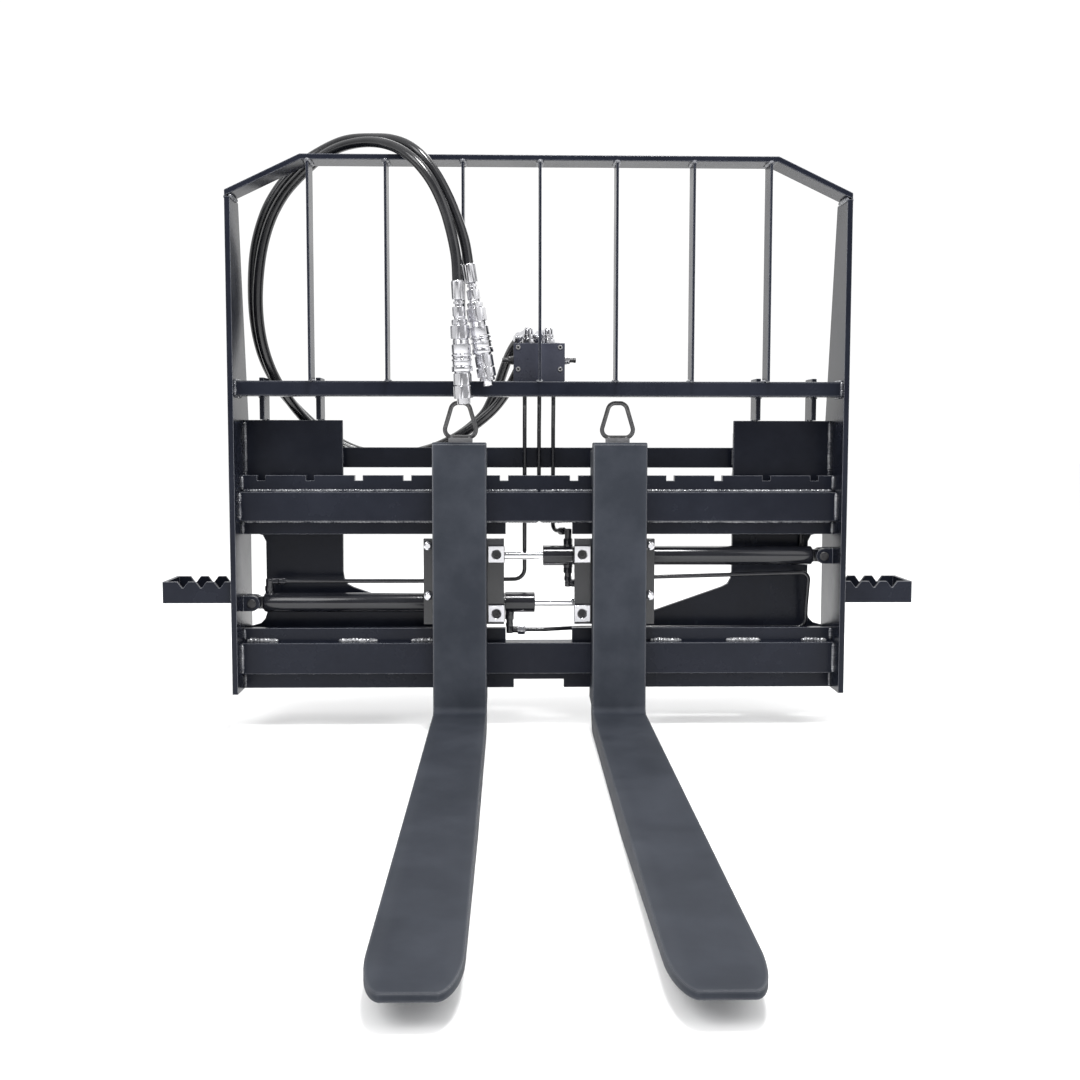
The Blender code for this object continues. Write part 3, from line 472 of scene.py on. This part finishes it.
def hose(label):
    """A hose as one smooth curve through its route, ending thinner inside its coupler."""
    axis = COUPLER_AXES[label]
    points = HOSE_ROUTES[label] + [HOSE_ROUTES[label][-1] + axis * reach for reach in INSERT_REACH]
    thickness = [1.0] * len(HOSE_ROUTES[label]) + list(INSERT_THICKNESS)
    data = bpy.data.curves.new("hose_cover_" + label, "CURVE")
    data.dimensions = "3D"
    data.bevel_depth = HOSE_RADIUS
    data.bevel_resolution = 8
    data.resolution_u = 10
    data.use_fill_caps = True
    spline = data.splines.new("BEZIER")
    spline.bezier_points.add(len(points) - 1)
    ends = [2 * points[0] - points[1]] + points + [2 * points[-1] - points[-2]]
    for i, place in enumerate(spline.bezier_points):
        reach = (ends[i + 2] - ends[i]) / 6
        place.handle_left_type = place.handle_right_type = "FREE"
        place.co = points[i]
        place.radius = thickness[i]
        place.handle_left = points[i] - reach
        place.handle_right = points[i] + reach
    data.materials.append(RUBBER)
    item = bpy.data.objects.new("hose_cover_" + label, data)
    bpy.context.scene.collection.objects.link(item)
    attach(item, "frame")
    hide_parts("hose_" + label)
    return item


def coupler(label):
    """Crimped ferrule, swivel nut, adapter, socket half, plug half, and the sliding sleeve."""
    axis = COUPLER_AXES[label]
    start = HOSE_ROUTES[label][-1] + axis * 0.0003
    rows = [(0, 0.0100), (0, 0.0108), (0.0015, 0.0118), (0.0030, 0.0118, "crimp"),
            (0.0320, 0.0116, "crimp"), (0.0335, 0.0112), (0.0345, 0.0085), (0.0360, 0.0072)]
    rows += [(0.0368, 0.0072), *hexagon(0.0370, 0.0415, 0.0096), (0.0418, 0.0070), (0.0462, 0.0070)]
    rows += hexagon(0.0465, 0.0640, 0.0122)
    rows += [(0.0642, 0.0103), (0.0670, 0.0098), (0.0690, 0.0098)]
    rows += hexagon(0.0695, 0.0785, 0.0150)
    rows += [(0.0787, 0.0112), (0.0798, 0.0112)]
    rows += hexagon(0.0800, 0.1035, 0.0182)
    rows += [(0.1037, 0.0150), (0.1048, 0.0140), (0.1062, 0.0149), (0.1640, 0.0149), (0.1645, 0.0143)]
    rows += hexagon(0.1655, 0.1865, 0.0172)
    rows += [(0.1868, 0.0138), (0.1876, 0.0138)]
    if label == "b":
        rows += hexagon(0.1880, 0.2105, 0.0181)
        rows += [(0.2108, 0.0124), (0.2200, 0.0120), (0.2210, 0.0112), (0.2210, 0.0070), (0.2150, 0.0065)]
    else:
        rows += hexagon(0.1880, 0.2045, 0.0178)
        rows += [(0.2047, 0.0115), (0.2053, 0.0115), *hexagon(0.2055, 0.2115, 0.0146), (0.2118, 0.0094),
                 (0.2200, 0.0088), (0.2210, 0.0080), (0.2210, 0.0050), (0.2160, 0.0046)]
    body = Shape().turned(rows, start, axis, 96, across=(0.3, -1, 0))
    body = body.piece("coupler_body_" + label, "frame", "zinc", replaces=["coupler_" + label])

    bore = 0.0151
    rows = [(0, bore), (0, 0.0166), (0.0010, 0.0174), (0.0150, 0.0174), (0.0162, 0.0169), (0.0172, 0.0169),
            (0.0180, 0.0184), (0.0186, 0.0188), (0.0214, 0.0188), (0.0220, 0.0184), (0.0226, 0.0166),
            (0.0262, 0.0166), (0.0268, 0.0184), (0.0274, 0.0188), (0.0296, 0.0188), (0.0302, 0.0184),
            (0.0308, 0.0168), (0.0312, 0.0174, "knurl"), (0.0378, 0.0174, "knurl"), (0.0384, 0.0168),
            (0.0394, 0.0187), (0.0402, 0.0192), (0.0480, 0.0192), (0.0490, 0.0186), (0.0490, bore)]
    sleeve = Shape().turned(rows, start + axis * SLEEVE_START, axis, 96, closed=True)
    sleeve = sleeve.piece("coupler_grip_" + label, "sleeve_" + label, "zinc",
                          replaces=["coupler_sleeve_" + label])
    return [body, sleeve]


def hoses():
    for label in ("a", "b"):
        pieces = coupler(label)
        covering = hose(label)


# ---------------------------------------------------------------- forks and what rides on them
def applied(item):
    """Replace an object's mesh by the one its modifiers give."""
    bpy.context.view_layer.update()
    result = bpy.data.meshes.new_from_object(item.evaluated_get(bpy.context.evaluated_depsgraph_get()))
    item.modifiers.clear()
    item.data = result
    return item


def fork_outline():
    """Side profile of shank, heel and thinning blade, with a hook for each rail behind."""
    back, thick, top = 0.040, 0.040, 0.545
    inner_heel, outer_heel = 0.014, 0.046
    tip, taper_start = 0.030, 0.640
    hook_back, near, far = 0.097, 0.065, 0.083
    outline = [(0, top - 0.004), (0, thick + inner_heel)]
    outline += arc((-inner_heel, thick + inner_heel), inner_heel, 0, -90, 12)[1:]
    outline += [(-FORK_LENGTH, thick), (-FORK_LENGTH, tip), (-taper_start, 0)]
    outline += arc((back - outer_heel, outer_heel), outer_heel, -90, 0, 18)
    outline += [(hook_back, 0.0505), (hook_back, 0.100), (far, 0.100), (far, 0.075)]
    outline += [(near, 0.075), (near, 0.100), (back, 0.100)]
    outline += [(back, 0.459), (near, 0.459), (near, 0.4835), (far, 0.4835)]
    outline += [(far, 0.455), (hook_back, 0.455), (hook_back, 0.530), (back + 0.010, 0.530)]
    outline += [(back, top), (0.004, top)]
    return outline


def tip_outline(x):
    """Plan of a fork about x, its corners rounded towards a flat tip; it runs on behind the shank."""
    flat, reach, behind, steps = 0.026, 0.100, 0.150, 24
    outline = [(x - FORK_HALF_WIDTH, behind)]
    for step in range(steps + 1):
        angle = math.radians(90 * step / steps)
        outline.append((x - flat - (FORK_HALF_WIDTH - flat) * math.cos(angle),
                        reach - FORK_LENGTH - reach * math.sin(angle)))
    return outline + [(2 * x - edge, depth) for edge, depth in reversed(outline)]


def raw_object(name, shape):
    """A shape as a plain object, to be cut or to cut with."""
    bmesh.ops.recalc_face_normals(shape.mesh, faces=shape.mesh.faces)
    data = bpy.data.meshes.new(name)
    shape.mesh.to_mesh(data)
    shape.mesh.free()
    item = bpy.data.objects.new(name, data)
    bpy.context.scene.collection.objects.link(item)
    return item


def fork(side):
    """Forged fork with softened edges, a rounded heel and a thinned, rounded tip."""
    x = side * FORK_X
    name = side_name(side)
    item = raw_object("forged_fork_" + name, Shape().prism("side", fork_outline(), x - FORK_HALF_WIDTH,
                                                           x + FORK_HALF_WIDTH))
    plan = raw_object("plan", Shape().prism("plan", tip_outline(x), -0.02, 0.60))
    hole = raw_object("hole", Shape().turned([(0, 0.0066), (0.07, 0.0066)], at(x, LATCH_DEPTH, 0.475),
                                             (0, 0, 1), 32))
    for tool, operation in ((plan, "INTERSECT"), (hole, "DIFFERENCE")):
        change = item.modifiers.new(operation, "BOOLEAN")
        change.operation = operation
        change.solver = "EXACT"
        change.object = tool
    soften = item.modifiers.new("soften", "BEVEL")
    soften.width = 0.0022
    soften.segments = 3
    soften.limit_method = "ANGLE"
    soften.angle_limit = math.radians(50)
    soften.use_clamp_overlap = True
    applied(item)
    for tool in (plan, hole):
        bpy.data.objects.remove(tool, do_unlink=True)
    item.data.materials.clear()
    item.data.materials.append(FORK_PAINT)
    item.data.shade_smooth()
    item.data.set_sharp_from_angle(angle=math.radians(32))
    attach(item, f"{name}_fork")
    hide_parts("fork_" + name)

    welds = Shape()
    for number, (depth, z) in enumerate(((0.0405, 0.4585), (0.0405, 0.1005), (0.0415, 0.0505))):
        welds.bead((x - 0.046, x + 0.046), depth, z, 0.0034, FORK_SEED + number)
    welds.piece("fork_weld_" + name, f"{name}_fork", "fork_paint", WELD_PAINT_WITH_GLINTS)


def latch(side):
    """Pull ring of bent wire on its head plate, and the pin below."""
    x, name = side * FORK_X, side_name(side)
    wide, narrow = 0.0343, 0.0150
    low, high = 0.5545, 0.6195
    bend, wire = 0.0145, 0.0042
    corners = [at(x - wide, LATCH_DEPTH, low), at(x + wide, LATCH_DEPTH, low),
               at(x + narrow, LATCH_DEPTH, high), at(x - narrow, LATCH_DEPTH, high)]
    Shape().sweep(rounded(corners, bend, 14, closed=True), wire, 24, closed=True).piece(
        "pull_ring_" + name, "latch_" + name, "raw_steel")
    head = Shape().box((x - 0.023, x + 0.023), (LATCH_DEPTH - 0.007, LATCH_DEPTH + 0.007),
                       (0.5303, 0.5535), 0.0022, 3)
    for shift in (-0.0165, 0.0165):
        head.turned([(0, 0.0046), (0.0022, 0.0046), (0.0030, 0.0038)], at(x + shift, LATCH_DEPTH, 0.5530),
                    (0, 0, 1), 24)
    head.turned([(0, 0.0050), (0.0010, 0.0060), (0.0555, 0.0060)], at(x, LATCH_DEPTH, 0.4832),
                (0, 0, 1), 32)
    head.piece("latch_head_" + name, "latch_" + name, "raw_steel", LATCH_PLATE, ["latch_" + name])


def clamp_block(side, label, height):
    """Square zinc-plated block with a deep recess for its socket screw."""
    x, name = side * CLAMP_X, side_name(side)
    half, thick = 0.01575, 0.0140
    rows = [(0, half - 0.001, "square"), (0.001, half, "square"), (thick - 0.0012, half, "square"),
            (thick, half - 0.0012, "square"), (thick, 0.0096), (thick - 0.0008, 0.0087),
            (thick - 0.0095, 0.0085), (thick - 0.0100, 0.0040)]
    Shape().turned(rows, at(x, 0.0400, height), (0, -1, 0), 64, across=(1, 0, 0)).piece(
        f"clamp_{name}_{label}", f"{name}_fork", "zinc", replaces=[f"clamp_block_{name}_{label}"])
    screw = [(0, 0.0076), (0.0046, 0.0076), (0.0052, 0.0070), (0.0052, 0.0050, "hex"),
             (0.0012, 0.0048, "hex")]
    Shape().turned(screw, at(x, 0.0362, height), (0, -1, 0), 48).piece(
        f"clamp_screw_{name}_{label}", f"{name}_fork", "zinc", SOCKET_STEEL)


def carrier_extras(side):
    """Bolts at the carrier's outer edge and the rod's nut on its lug."""
    name = side_name(side)
    extras = Shape()
    for height in CARRIER_BOLT_HEIGHTS:
        extras.turned([(0, 0.0079), (0.0015, 0.0082), (0.0035, 0.0082), *hexagon(0.0036, 0.0112, 0.0086),
                       (0.0120, 0.0055), (0.0145, 0.0052), (0.0150, 0.0046)],
                      at(side * CARRIER_BOLT_X, 0.0402, height), (0, -1, 0), 48)
    axis = UPPER_AXIS if side < 0 else LOWER_AXIS
    extras.turned([*hexagon(0, 0.0085, 0.0135), (0.0088, 0.0078), (0.0112, 0.0076), (0.0118, 0.0070)],
                  at(side * 0.1002, CYLINDER_DEPTH, axis), (side, 0, 0), 48)
    extras.piece("carrier_bolts_" + name, f"{name}_fork", "zinc")


# ---------------------------------------------------------------- hydraulics
def cylinder(label, side, height):
    """Barrel with welded end cap and ports, screwed gland, and the chromed rod."""
    inward = Vector((-side, 0, 0))
    cap = at(side * 0.525, CYLINDER_DEPTH, height)
    length = 0.4597
    rows = [(0, 0.0150), (0.0012, 0.0172), (0.0030, 0.0181), (0.0168, 0.0181), (0.0180, 0.0185),
            (length - 0.0030, 0.0185), (length - 0.0020, 0.0181), (length, 0.0181), (length, 0.0152),
            (0.0200, 0.0150), (0.0200, 0.0020)]
    barrel = Shape().turned(rows, cap, inward, 64)
    barrel.turned([(0, 0.0065), (0, 0.0115), (0.001, 0.0125), (0.0112, 0.0125), (0.0122, 0.0115),
                   (0.0122, 0.0065)], at(side * EYE_X, 0.0739, height), (0, 1, 0), 48, closed=True)
    barrel.box(span(side, 0.520, 0.5365), (0.0745, 0.0855), (height - 0.0118, height + 0.0118), 0.0015)
    barrel.bead(side * 0.5250, 0.0735, (height - 0.0130, height + 0.0130), 0.0022, CAP_SEED)
    if side < 0:
        barrel.turned([(0, 0.0078), (0.0080, 0.0078), *hexagon(0.0082, 0.0180, 0.0086), (0.0182, 0.0068),
                       (0.0260, 0.0068), (0.0315, 0.0068)],
                      at(side * PORT_X, CYLINDER_DEPTH, height + 0.0140), (0, 0, 1), 48)
        barrel.turned([(0, 0.0066), (0.0060, 0.0066), *hexagon(0.0062, 0.0178, 0.0080), (0.0180, 0.0048)],
                      at(side * PORT_X, CYLINDER_DEPTH, CAP_TUBE_HEIGHT), (-side, 0, 0), 48)
    else:
        barrel.turned([(0, 0.0078), (0.0060, 0.0078), *hexagon(0.0062, 0.0125, 0.0084), (0.0128, 0.0060)],
                      at(side * PORT_X, CYLINDER_DEPTH + 0.0145, height), (0, 1, 0), 48)
    barrel.piece("cylinder_barrel_" + label, "frame", "black_paint", replaces=["barrel_" + label])

    face = at(side * 0.065, CYLINDER_DEPTH, height)
    rows = [(0, 0.0084), (0, 0.0186), (0.0012, 0.0195), (0.0560, 0.0195), (0.0572, 0.0185),
            (0.0575, 0.0120), (0.0562, 0.0115), (0.0562, 0.0084)]
    gland = Shape().turned(rows, face, inward, 64, closed=True)
    gland_x = side * 0.0560
    centre = at(gland_x, CYLINDER_DEPTH, height)
    gland.turned([(0.0150, 0.0090), (0.0225, 0.0090), *hexagon(0.0227, 0.0335, 0.0092), (0.0337, 0.0066),
                  (0.0400, 0.0066), *hexagon(0.0402, 0.0475, 0.0078), (0.0478, 0.0066), (0.0590, 0.0066),
                  (0.0600, 0.0055)], centre, (0, 0, -1), 48)
    gland.turned([(0, 0.0062), (0.0120, 0.0064), *hexagon(0.0122, 0.0192, 0.0078)],
                 at(gland_x - 0.006 * side, CYLINDER_DEPTH, height - LINK_DROP), (1, 0, 0), 48)
    if side > 0:
        gland.turned([(0.0150, 0.0090), (0.0215, 0.0090), *hexagon(0.0217, 0.0325, 0.0092),
                      (0.0327, 0.0066), (0.0500, 0.0066), (0.0515, 0.0052)], centre, (0, 0, 1), 48)
    gland.piece("cylinder_gland_" + label, "frame", "black_paint", replaces=["gland_" + label])
    Shape().turned([(0, 0.0084), (0, 0.0112), (0.0014, 0.0106), (0.0020, 0.0090), (0.0020, 0.0084)],
                   face + inward * 0.0558, inward, 48, closed=True).piece(
                       "wiper_" + label, "frame", "black_paint", RUBBER)

    lug, piston_end, piston = 0.0747, 0.470, 0.022
    reach = lug + piston_end
    rows = [(0, 0.0068), (0.0012, 0.0080), (reach - piston, 0.0080), (reach - piston, 0.0145),
            (reach, 0.0145)]
    Shape().turned(rows, at(-side * lug, CYLINDER_DEPTH, height), (side, 0, 0), 64).piece(
        "cylinder_rod_" + label, side_name(-side) + "_fork", "chrome", replaces=["rod_" + label])

    rows = [(0, 0.0074), (0.0008, 0.0085), (0.0022, 0.0085), (0.0030, 0.0079), (0.0030, 0.0055),
            (0.0440, 0.0055), (0.0450, 0.0046)]
    Shape().turned(rows, at(side * EYE_X, 0.0567, height), (0, 1, 0), 48).piece(
        "cylinder_pin_head_" + label, "frame", "zinc", SOCKET_STEEL, ["cylinder_pin_" + label])


def valve():
    """Flow divider block, its screws and adjusters, and the two elbows the hoses leave."""
    half, depth, z = 0.0485, (0.0716, 0.112), (0.6468, 0.732)
    adjuster = (0.086, 0.7005)
    block = Shape().box((-half, half), depth, z, 0.0016, 3)
    block.turned([(0, 0.0120), (0.0018, 0.0120), (0.0024, 0.0112)], at(0.030, 0.0995, z[1] - 0.0005),
                 (0, 0, 1), 48)
    block.piece("divider_block", "frame", "black_paint", BLOCK_PAINT, ["valve_block"])

    screws = Shape()
    for x in (-0.0397, 0.0397):
        for height in (0.6830, 0.7240):
            screws.turned([(0, 0.0046), (0.0014, 0.0046), (0.0019, 0.0041), (0.0019, 0.0024, "hex"),
                           (0.0004, 0.0023, "hex")], at(x, depth[0] + 0.0004, height), (0, -1, 0), 24)
    screws.piece("divider_screws", "frame", "zinc", LATCH_PLATE)

    for side, finish in ((1, ZINC), (-1, SOCKET_STEEL)):
        nuts = Shape().turned([*hexagon(0, 0.0050, 0.0088), (0.0052, 0.0060),
                               *hexagon(0.0054, 0.0100, 0.0078)],
                              at(side * (half - 0.0003), *adjuster), (side, 0, 0), 48)
        nuts.piece("adjuster_nuts_" + side_name(side), "frame", "zinc", finish)
    studs = Shape()
    for side in (1, -1):
        studs.turned([(0, 0.0042), (0.0080, 0.0042), (0.0085, 0.0048), (0.0120, 0.0048), (0.0130, 0.0040),
                      (0.0130, 0.0020, "hex"), (0.0110, 0.0019, "hex")],
                     at(side * (half + 0.0085), *adjuster), (side, 0, 0), 32)
    studs.piece("adjuster_studs", "frame", "black_paint", SOCKET_STEEL)

    stem_depth, knee = 0.094, 0.754
    for number, (x, label) in enumerate(zip((-0.020, 0.018), ("a", "b"))):
        route = HOSE_ROUTES[label]
        back = (route[0] - route[1]).normalized()
        joint = route[0] + back * 0.014
        elbow = Shape().turned([*hexagon(0, 0.0085, 0.0132), (0.0088, 0.0092), (0.0105, 0.0092),
                                *hexagon(0.0107, 0.0170, 0.0112), (0.0172, 0.0092), (0.0240, 0.0092),
                                (0.0280, 0.0082), (0.0305, 0.0062), (0.0315, 0.0034)],
                               at(x, stem_depth, 0.7323), (0, 0, 1), 48)
        path = rounded([at(x, stem_depth, knee - 0.012), at(x, stem_depth, knee), joint], 0.006, 8)
        elbow.sweep(path, 0.0080, 32)
        elbow.turned([*hexagon(0.0003, 0.0140, 0.0118)], route[0], back, 48)
        elbow.piece(f"swivel_elbow_{number + 1}", "frame", "zinc", replaces=[f"valve_elbow_{number + 1}"])


def tube_with_nuts(name, path, node, nuts):
    """A steel tube with a sleeve nut at each listed end: (point, direction into the tube)."""
    tube = Shape().sweep(path, TUBE_RADIUS, 20)
    for point, direction in nuts:
        tube.turned([*hexagon(0.0008, 0.0125, 0.0076), (0.0127, 0.0056), (0.0150, 0.0046)], point,
                    direction, 36)
    tube.piece(name, "frame", "black_paint", replaces=[node])


def supply_tubes():
    """Three tubes down from the block, and the link between the two glands."""
    behind, row, top = 0.115, 0.104, 0.6465
    down = (0, 0, -1)
    left = [at(-0.027, row, top), at(-0.027, row, 0.6150), at(-0.027, behind, 0.5750),
            at(-0.027, behind, CAP_TUBE_HEIGHT), at(-0.075, 0.108, CAP_TUBE_HEIGHT),
            at(-0.140, CYLINDER_DEPTH, CAP_TUBE_HEIGHT), at(-0.4967, CYLINDER_DEPTH, CAP_TUBE_HEIGHT)]
    tube_with_nuts("steel_tube_left_cap", rounded(left, 0.020), "tube_left_cap",
                   [(left[0], down), (left[-1], (1, 0, 0))])
    middle = [at(0.001, row, top), at(0.001, row, 0.6150), at(0.001, 0.125, 0.5700),
              at(0.001, 0.125, 0.4650), at(PORT_X, 0.125, 0.4650), at(PORT_X, 0.125, UPPER_AXIS),
              at(PORT_X, 0.1083, UPPER_AXIS)]
    tube_with_nuts("steel_tube_right_cap", rounded(middle, 0.012), "tube_right_cap", [(middle[0], down)])
    gland_top = UPPER_AXIS + 0.0460
    right = [at(0.028, row, top), at(0.028, row, 0.6150), at(0.028, behind, 0.5750),
             at(0.028, behind, gland_top), at(0.0490, CYLINDER_DEPTH + 0.008, gland_top)]
    tube_with_nuts("steel_tube_upper_gland", rounded(right, 0.012), "tube_upper_gland",
                   [(right[0], down), (right[-1], right[-2] - right[-1])])
    high, low = UPPER_AXIS - LINK_DROP, LOWER_AXIS - LINK_DROP
    link_path = [at(0.0703, CYLINDER_DEPTH, high), at(0.110, CYLINDER_DEPTH, high),
                 at(0.170, CYLINDER_DEPTH, 0.2860), at(0.521, CYLINDER_DEPTH, 0.2960),
                 at(0.521, 0.100, 0.2300), at(0.521, 0.104, low), at(0.080, 0.104, low),
                 at(0.010, CYLINDER_DEPTH, low), at(-0.0417, CYLINDER_DEPTH, low)]
    tube_with_nuts("steel_tube_link", rounded(link_path, 0.016), "tube_link", [(link_path[0], (1, 0, 0))])
    Shape().turned([*hexagon(0.0008, 0.0150, 0.0098), (0.0153, 0.0070), (0.0180, 0.0046)],
                   link_path[-1], (1, 0, 0), 48).piece("link_nut", "frame", "zinc")


# ---------------------------------------------------------------- weld beads
RAIL_BEAD_DEPTH = 0.0642
SIDE_BEAD_X = 0.5608          # beads of the rails and the mid bar on the side plates
PLATE_BEAD_X = 0.5606         # beads of the corner and quick-attach plates on the side plates
GUARD_BARS = 7
GUARD_PITCH = 0.1405


def rail_welds():
    """Beads along the face bars and at the rails' ends, and the stitches below, made bright with a painted
    highlight.
    """
    rails, stitches = Shape(), Shape()
    seeds = itertools.count(RAIL_SEED)
    for z in (0.4532, 0.3958):
        for ends in ((-0.558, -0.002), (0.002, 0.558)):
            rails.bead(ends, RAIL_BEAD_DEPTH, z, 0.0032, next(seeds), 0.0055, 0.0006)
    rails.bead((-0.558, 0.558), 0.0648, 0.1062, 0.0034, next(seeds))
    for ends in ((-0.5565, -0.4966), (-0.382, -0.309), (-0.2436, -0.195), (0.2136, 0.2736),
                 (0.3598, 0.4254), (0.504, 0.553)):
        stitches.bead(ends, RAIL_BEAD_DEPTH, 0.1672, 0.0046, next(seeds), 0.0065, 0.0010)
    stitches.piece("stitch_welds", "frame", "frame_paint", STITCH_WELD_HIGHLIGHT)
    for side in SIDES:
        for ends in ((0.399, 0.450), (0.109, 0.164)):
            rails.bead(side * SIDE_BEAD_X, 0.0408, ends, 0.0032, next(seeds))
        for ends in ((0.371, 0.395), (0.455, 0.481), (0.078, 0.104), (0.169, 0.189)):
            rails.bead(side * SIDE_BEAD_X, 0.0657, ends, 0.0030, next(seeds))
    rails.piece("rail_welds", "frame", "frame_paint", WELD_PAINT_WITH_GLINTS)


def guard_welds():
    """Beads at the ends of the guard's bars and ribs, and along the corner plates."""
    guard = Shape()
    seeds = itertools.count(GUARD_SEED)
    bar_ends = ((1.0542, 0.0036, 0.0005, (0.001, 0.049)), (0.6585, 0.0030, 0.0155, (0.017, 0.049)))
    for number in range(GUARD_BARS):
        x = (number - GUARD_BARS // 2) * GUARD_PITCH
        for z, radius, front, depths in bar_ends:
            for shift in (-0.0030, 0.0030):
                guard.bead(x + shift, depths, z, radius, next(seeds))
            guard.bead((x - 0.0045, x + 0.0045), front, z, radius * 0.9, next(seeds), 0.003)
    for side in SIDES:
        for depth in (0.0155, 0.0645):
            guard.bead(side * 0.5610, depth, (0.6310, 0.6575), 0.0032, next(seeds))
        for z in (0.6302, 0.6580):
            guard.bead(side * SIDE_BEAD_X, (0.017, 0.063), z, 0.0030, next(seeds))
        guard.bead(side * 0.5618, (0.001, 0.060), 0.9895, 0.0040, next(seeds))
        guard.bead(side * 0.5712, (0.002, 0.060), 0.9882, 0.0030, next(seeds))
        for x in (0.4155, 0.5215):
            for z, depths in ((0.5874, (0.100, 0.106)), (0.630, (0.066, 0.076))):
                for shift in (-0.0048, 0.0048):
                    guard.bead(side * x + shift, depths, z, 0.0024, next(seeds), 0.003)
        for depth in (0.0988, 0.1072):
            guard.bead(side * PLATE_BEAD_X, depth, (0.458, 0.584), 0.0034, next(seeds))
    guard.bead((-0.0185, 0.0185), 0.0655, 0.6384, 0.0024, next(seeds))
    guard.piece("guard_welds", "frame", "frame_paint", WELD_PAINT_WITH_GLINTS)


def rear_welds():
    """Beads around the quick-attach plates and the steps."""
    rear = Shape()
    seeds = itertools.count(REAR_SEED)
    for side in SIDES:
        for ends in ((0.100, 0.185), (0.374, 0.460), (0.525, 0.560)):
            rear.bead(side * PLATE_BEAD_X, 0.1435, ends, 0.0034, next(seeds))
        rear.bead((side * 0.388, side * 0.554), 0.1445, 0.5195, 0.0036, next(seeds))
        rear.bead((side * 0.262, side * 0.554), 0.1445, 0.1095, 0.0036, next(seeds))
        for depth in (0.1440, 0.1340):
            rear.bead(side * 0.3808, depth, (0.498, 0.533), 0.0030, next(seeds))
        for z in (0.385, 0.445, 0.108, 0.168):
            for depth in (0.0825, 0.1337):
                rear.bead((side * 0.402, side * 0.493), depth, z, 0.0028, next(seeds))
        for z in (0.2462, 0.2858):
            rear.bead(side * 0.5722, (0.014, 0.116), z, 0.0028, next(seeds))
        for depth in (0.0122, 0.1178):
            rear.bead(side * 0.5720, depth, (0.248, 0.284), 0.0030, next(seeds))
    rear.piece("coupler_and_step_welds", "frame", "frame_paint", WELD_PAINT_WITH_GLINTS)


# ---------------------------------------------------------------- stage
LIGHTS = (                    # name, place, target, size, power
    ("key", (-2.4, -2.6, 3.4), (0, 0.2, 0.5), 2.2, 70),
    ("fill", (2.8, -2.2, 2.4), (0, 0.2, 0.5), 2.6, 28),
    ("rear", (0.6, 3.0, 2.8), (0, 0.6, 0.5), 2.4, 40),
    ("overhead", (0.25, -0.6, 2.9), (0, 0.5, 0.7), 0.6, 66),
)
FLOOR_REACH = 30.0


def studio():
    """White surroundings, darker towards the front in reflections only, a pale floor and four lamps."""
    world = bpy.data.worlds.new("studio")
    bpy.context.scene.world = world
    world.use_nodes = True
    tree = world.node_tree
    backdrop = tree.nodes["Background"]
    backdrop.inputs["Strength"].default_value = 1.06
    direction = tree.nodes.new("ShaderNodeTexCoord")
    parts = tree.nodes.new("ShaderNodeSeparateXYZ")
    link(tree, direction.outputs["Generated"], parts.inputs["Vector"])
    front = tree.nodes.new("ShaderNodeMapRange")
    front.interpolation_type = "SMOOTHSTEP"
    front.inputs["From Min"].default_value = 0.15
    front.inputs["From Max"].default_value = -0.75
    link(tree, parts.outputs["Y"], front.inputs["Value"])
    rays = tree.nodes.new("ShaderNodeLightPath")
    reflected = tree.nodes.new("ShaderNodeMath")
    reflected.operation = "MULTIPLY"
    link(tree, front.outputs["Result"], reflected.inputs[0])
    link(tree, rays.outputs["Is Glossy Ray"], reflected.inputs[1])
    room = tree.nodes.new("ShaderNodeMix")
    room.data_type = "RGBA"
    room.inputs["A"].default_value = (1.0, 1.0, 1.0, 1)
    room.inputs["B"].default_value = (0.27, 0.27, 0.28, 1)
    link(tree, reflected.outputs["Value"], room.inputs["Factor"])
    link(tree, room.outputs["Result"], backdrop.inputs["Color"])

    data = bpy.data.meshes.new("floor")
    corners = [(FLOOR_REACH * x, FLOOR_REACH * y, 0) for x, y in ((-1, -1), (1, -1), (1, 1), (-1, 1))]
    data.from_pydata(corners, [], [(0, 1, 2, 3)])
    pale = bpy.data.materials.new("pale_floor")
    pale.use_nodes = True
    shader = pale.node_tree.nodes["Principled BSDF"]
    shader.inputs["Base Color"].default_value = (0.96, 0.96, 0.96, 1)
    shader.inputs["Roughness"].default_value = 0.9
    shader.inputs["Specular IOR Level"].default_value = 0.1
    data.materials.append(pale)
    floor = bpy.data.objects.new("floor", data)
    bpy.context.scene.collection.objects.link(floor)

    for name, place, target, size, power in LIGHTS:
        lamp = bpy.data.lights.new(name, "AREA")
        lamp.shape = "SQUARE"
        lamp.size = size
        lamp.energy = power
        item = bpy.data.objects.new(name, lamp)
        item.location = place
        item.rotation_euler = (Vector(target) - Vector(place)).to_track_quat("-Z", "Y").to_euler()
        bpy.context.scene.collection.objects.link(item)
    bpy.context.scene.view_settings.view_transform = "Standard"
    bpy.context.scene.view_settings.look = "None"


def build():
    make_camera()
    hoses()
    finish_cad_nodes()
    for side in SIDES:
        fork(side)
        latch(side)
        for label, height in CLAMP_HEIGHTS.items():
            clamp_block(side, label, height)
        carrier_extras(side)
    cylinder("upper", 1, UPPER_AXIS)
    cylinder("lower", -1, LOWER_AXIS)
    valve()
    supply_tubes()
    rail_welds()
    guard_welds()
    rear_welds()
    studio()


build()
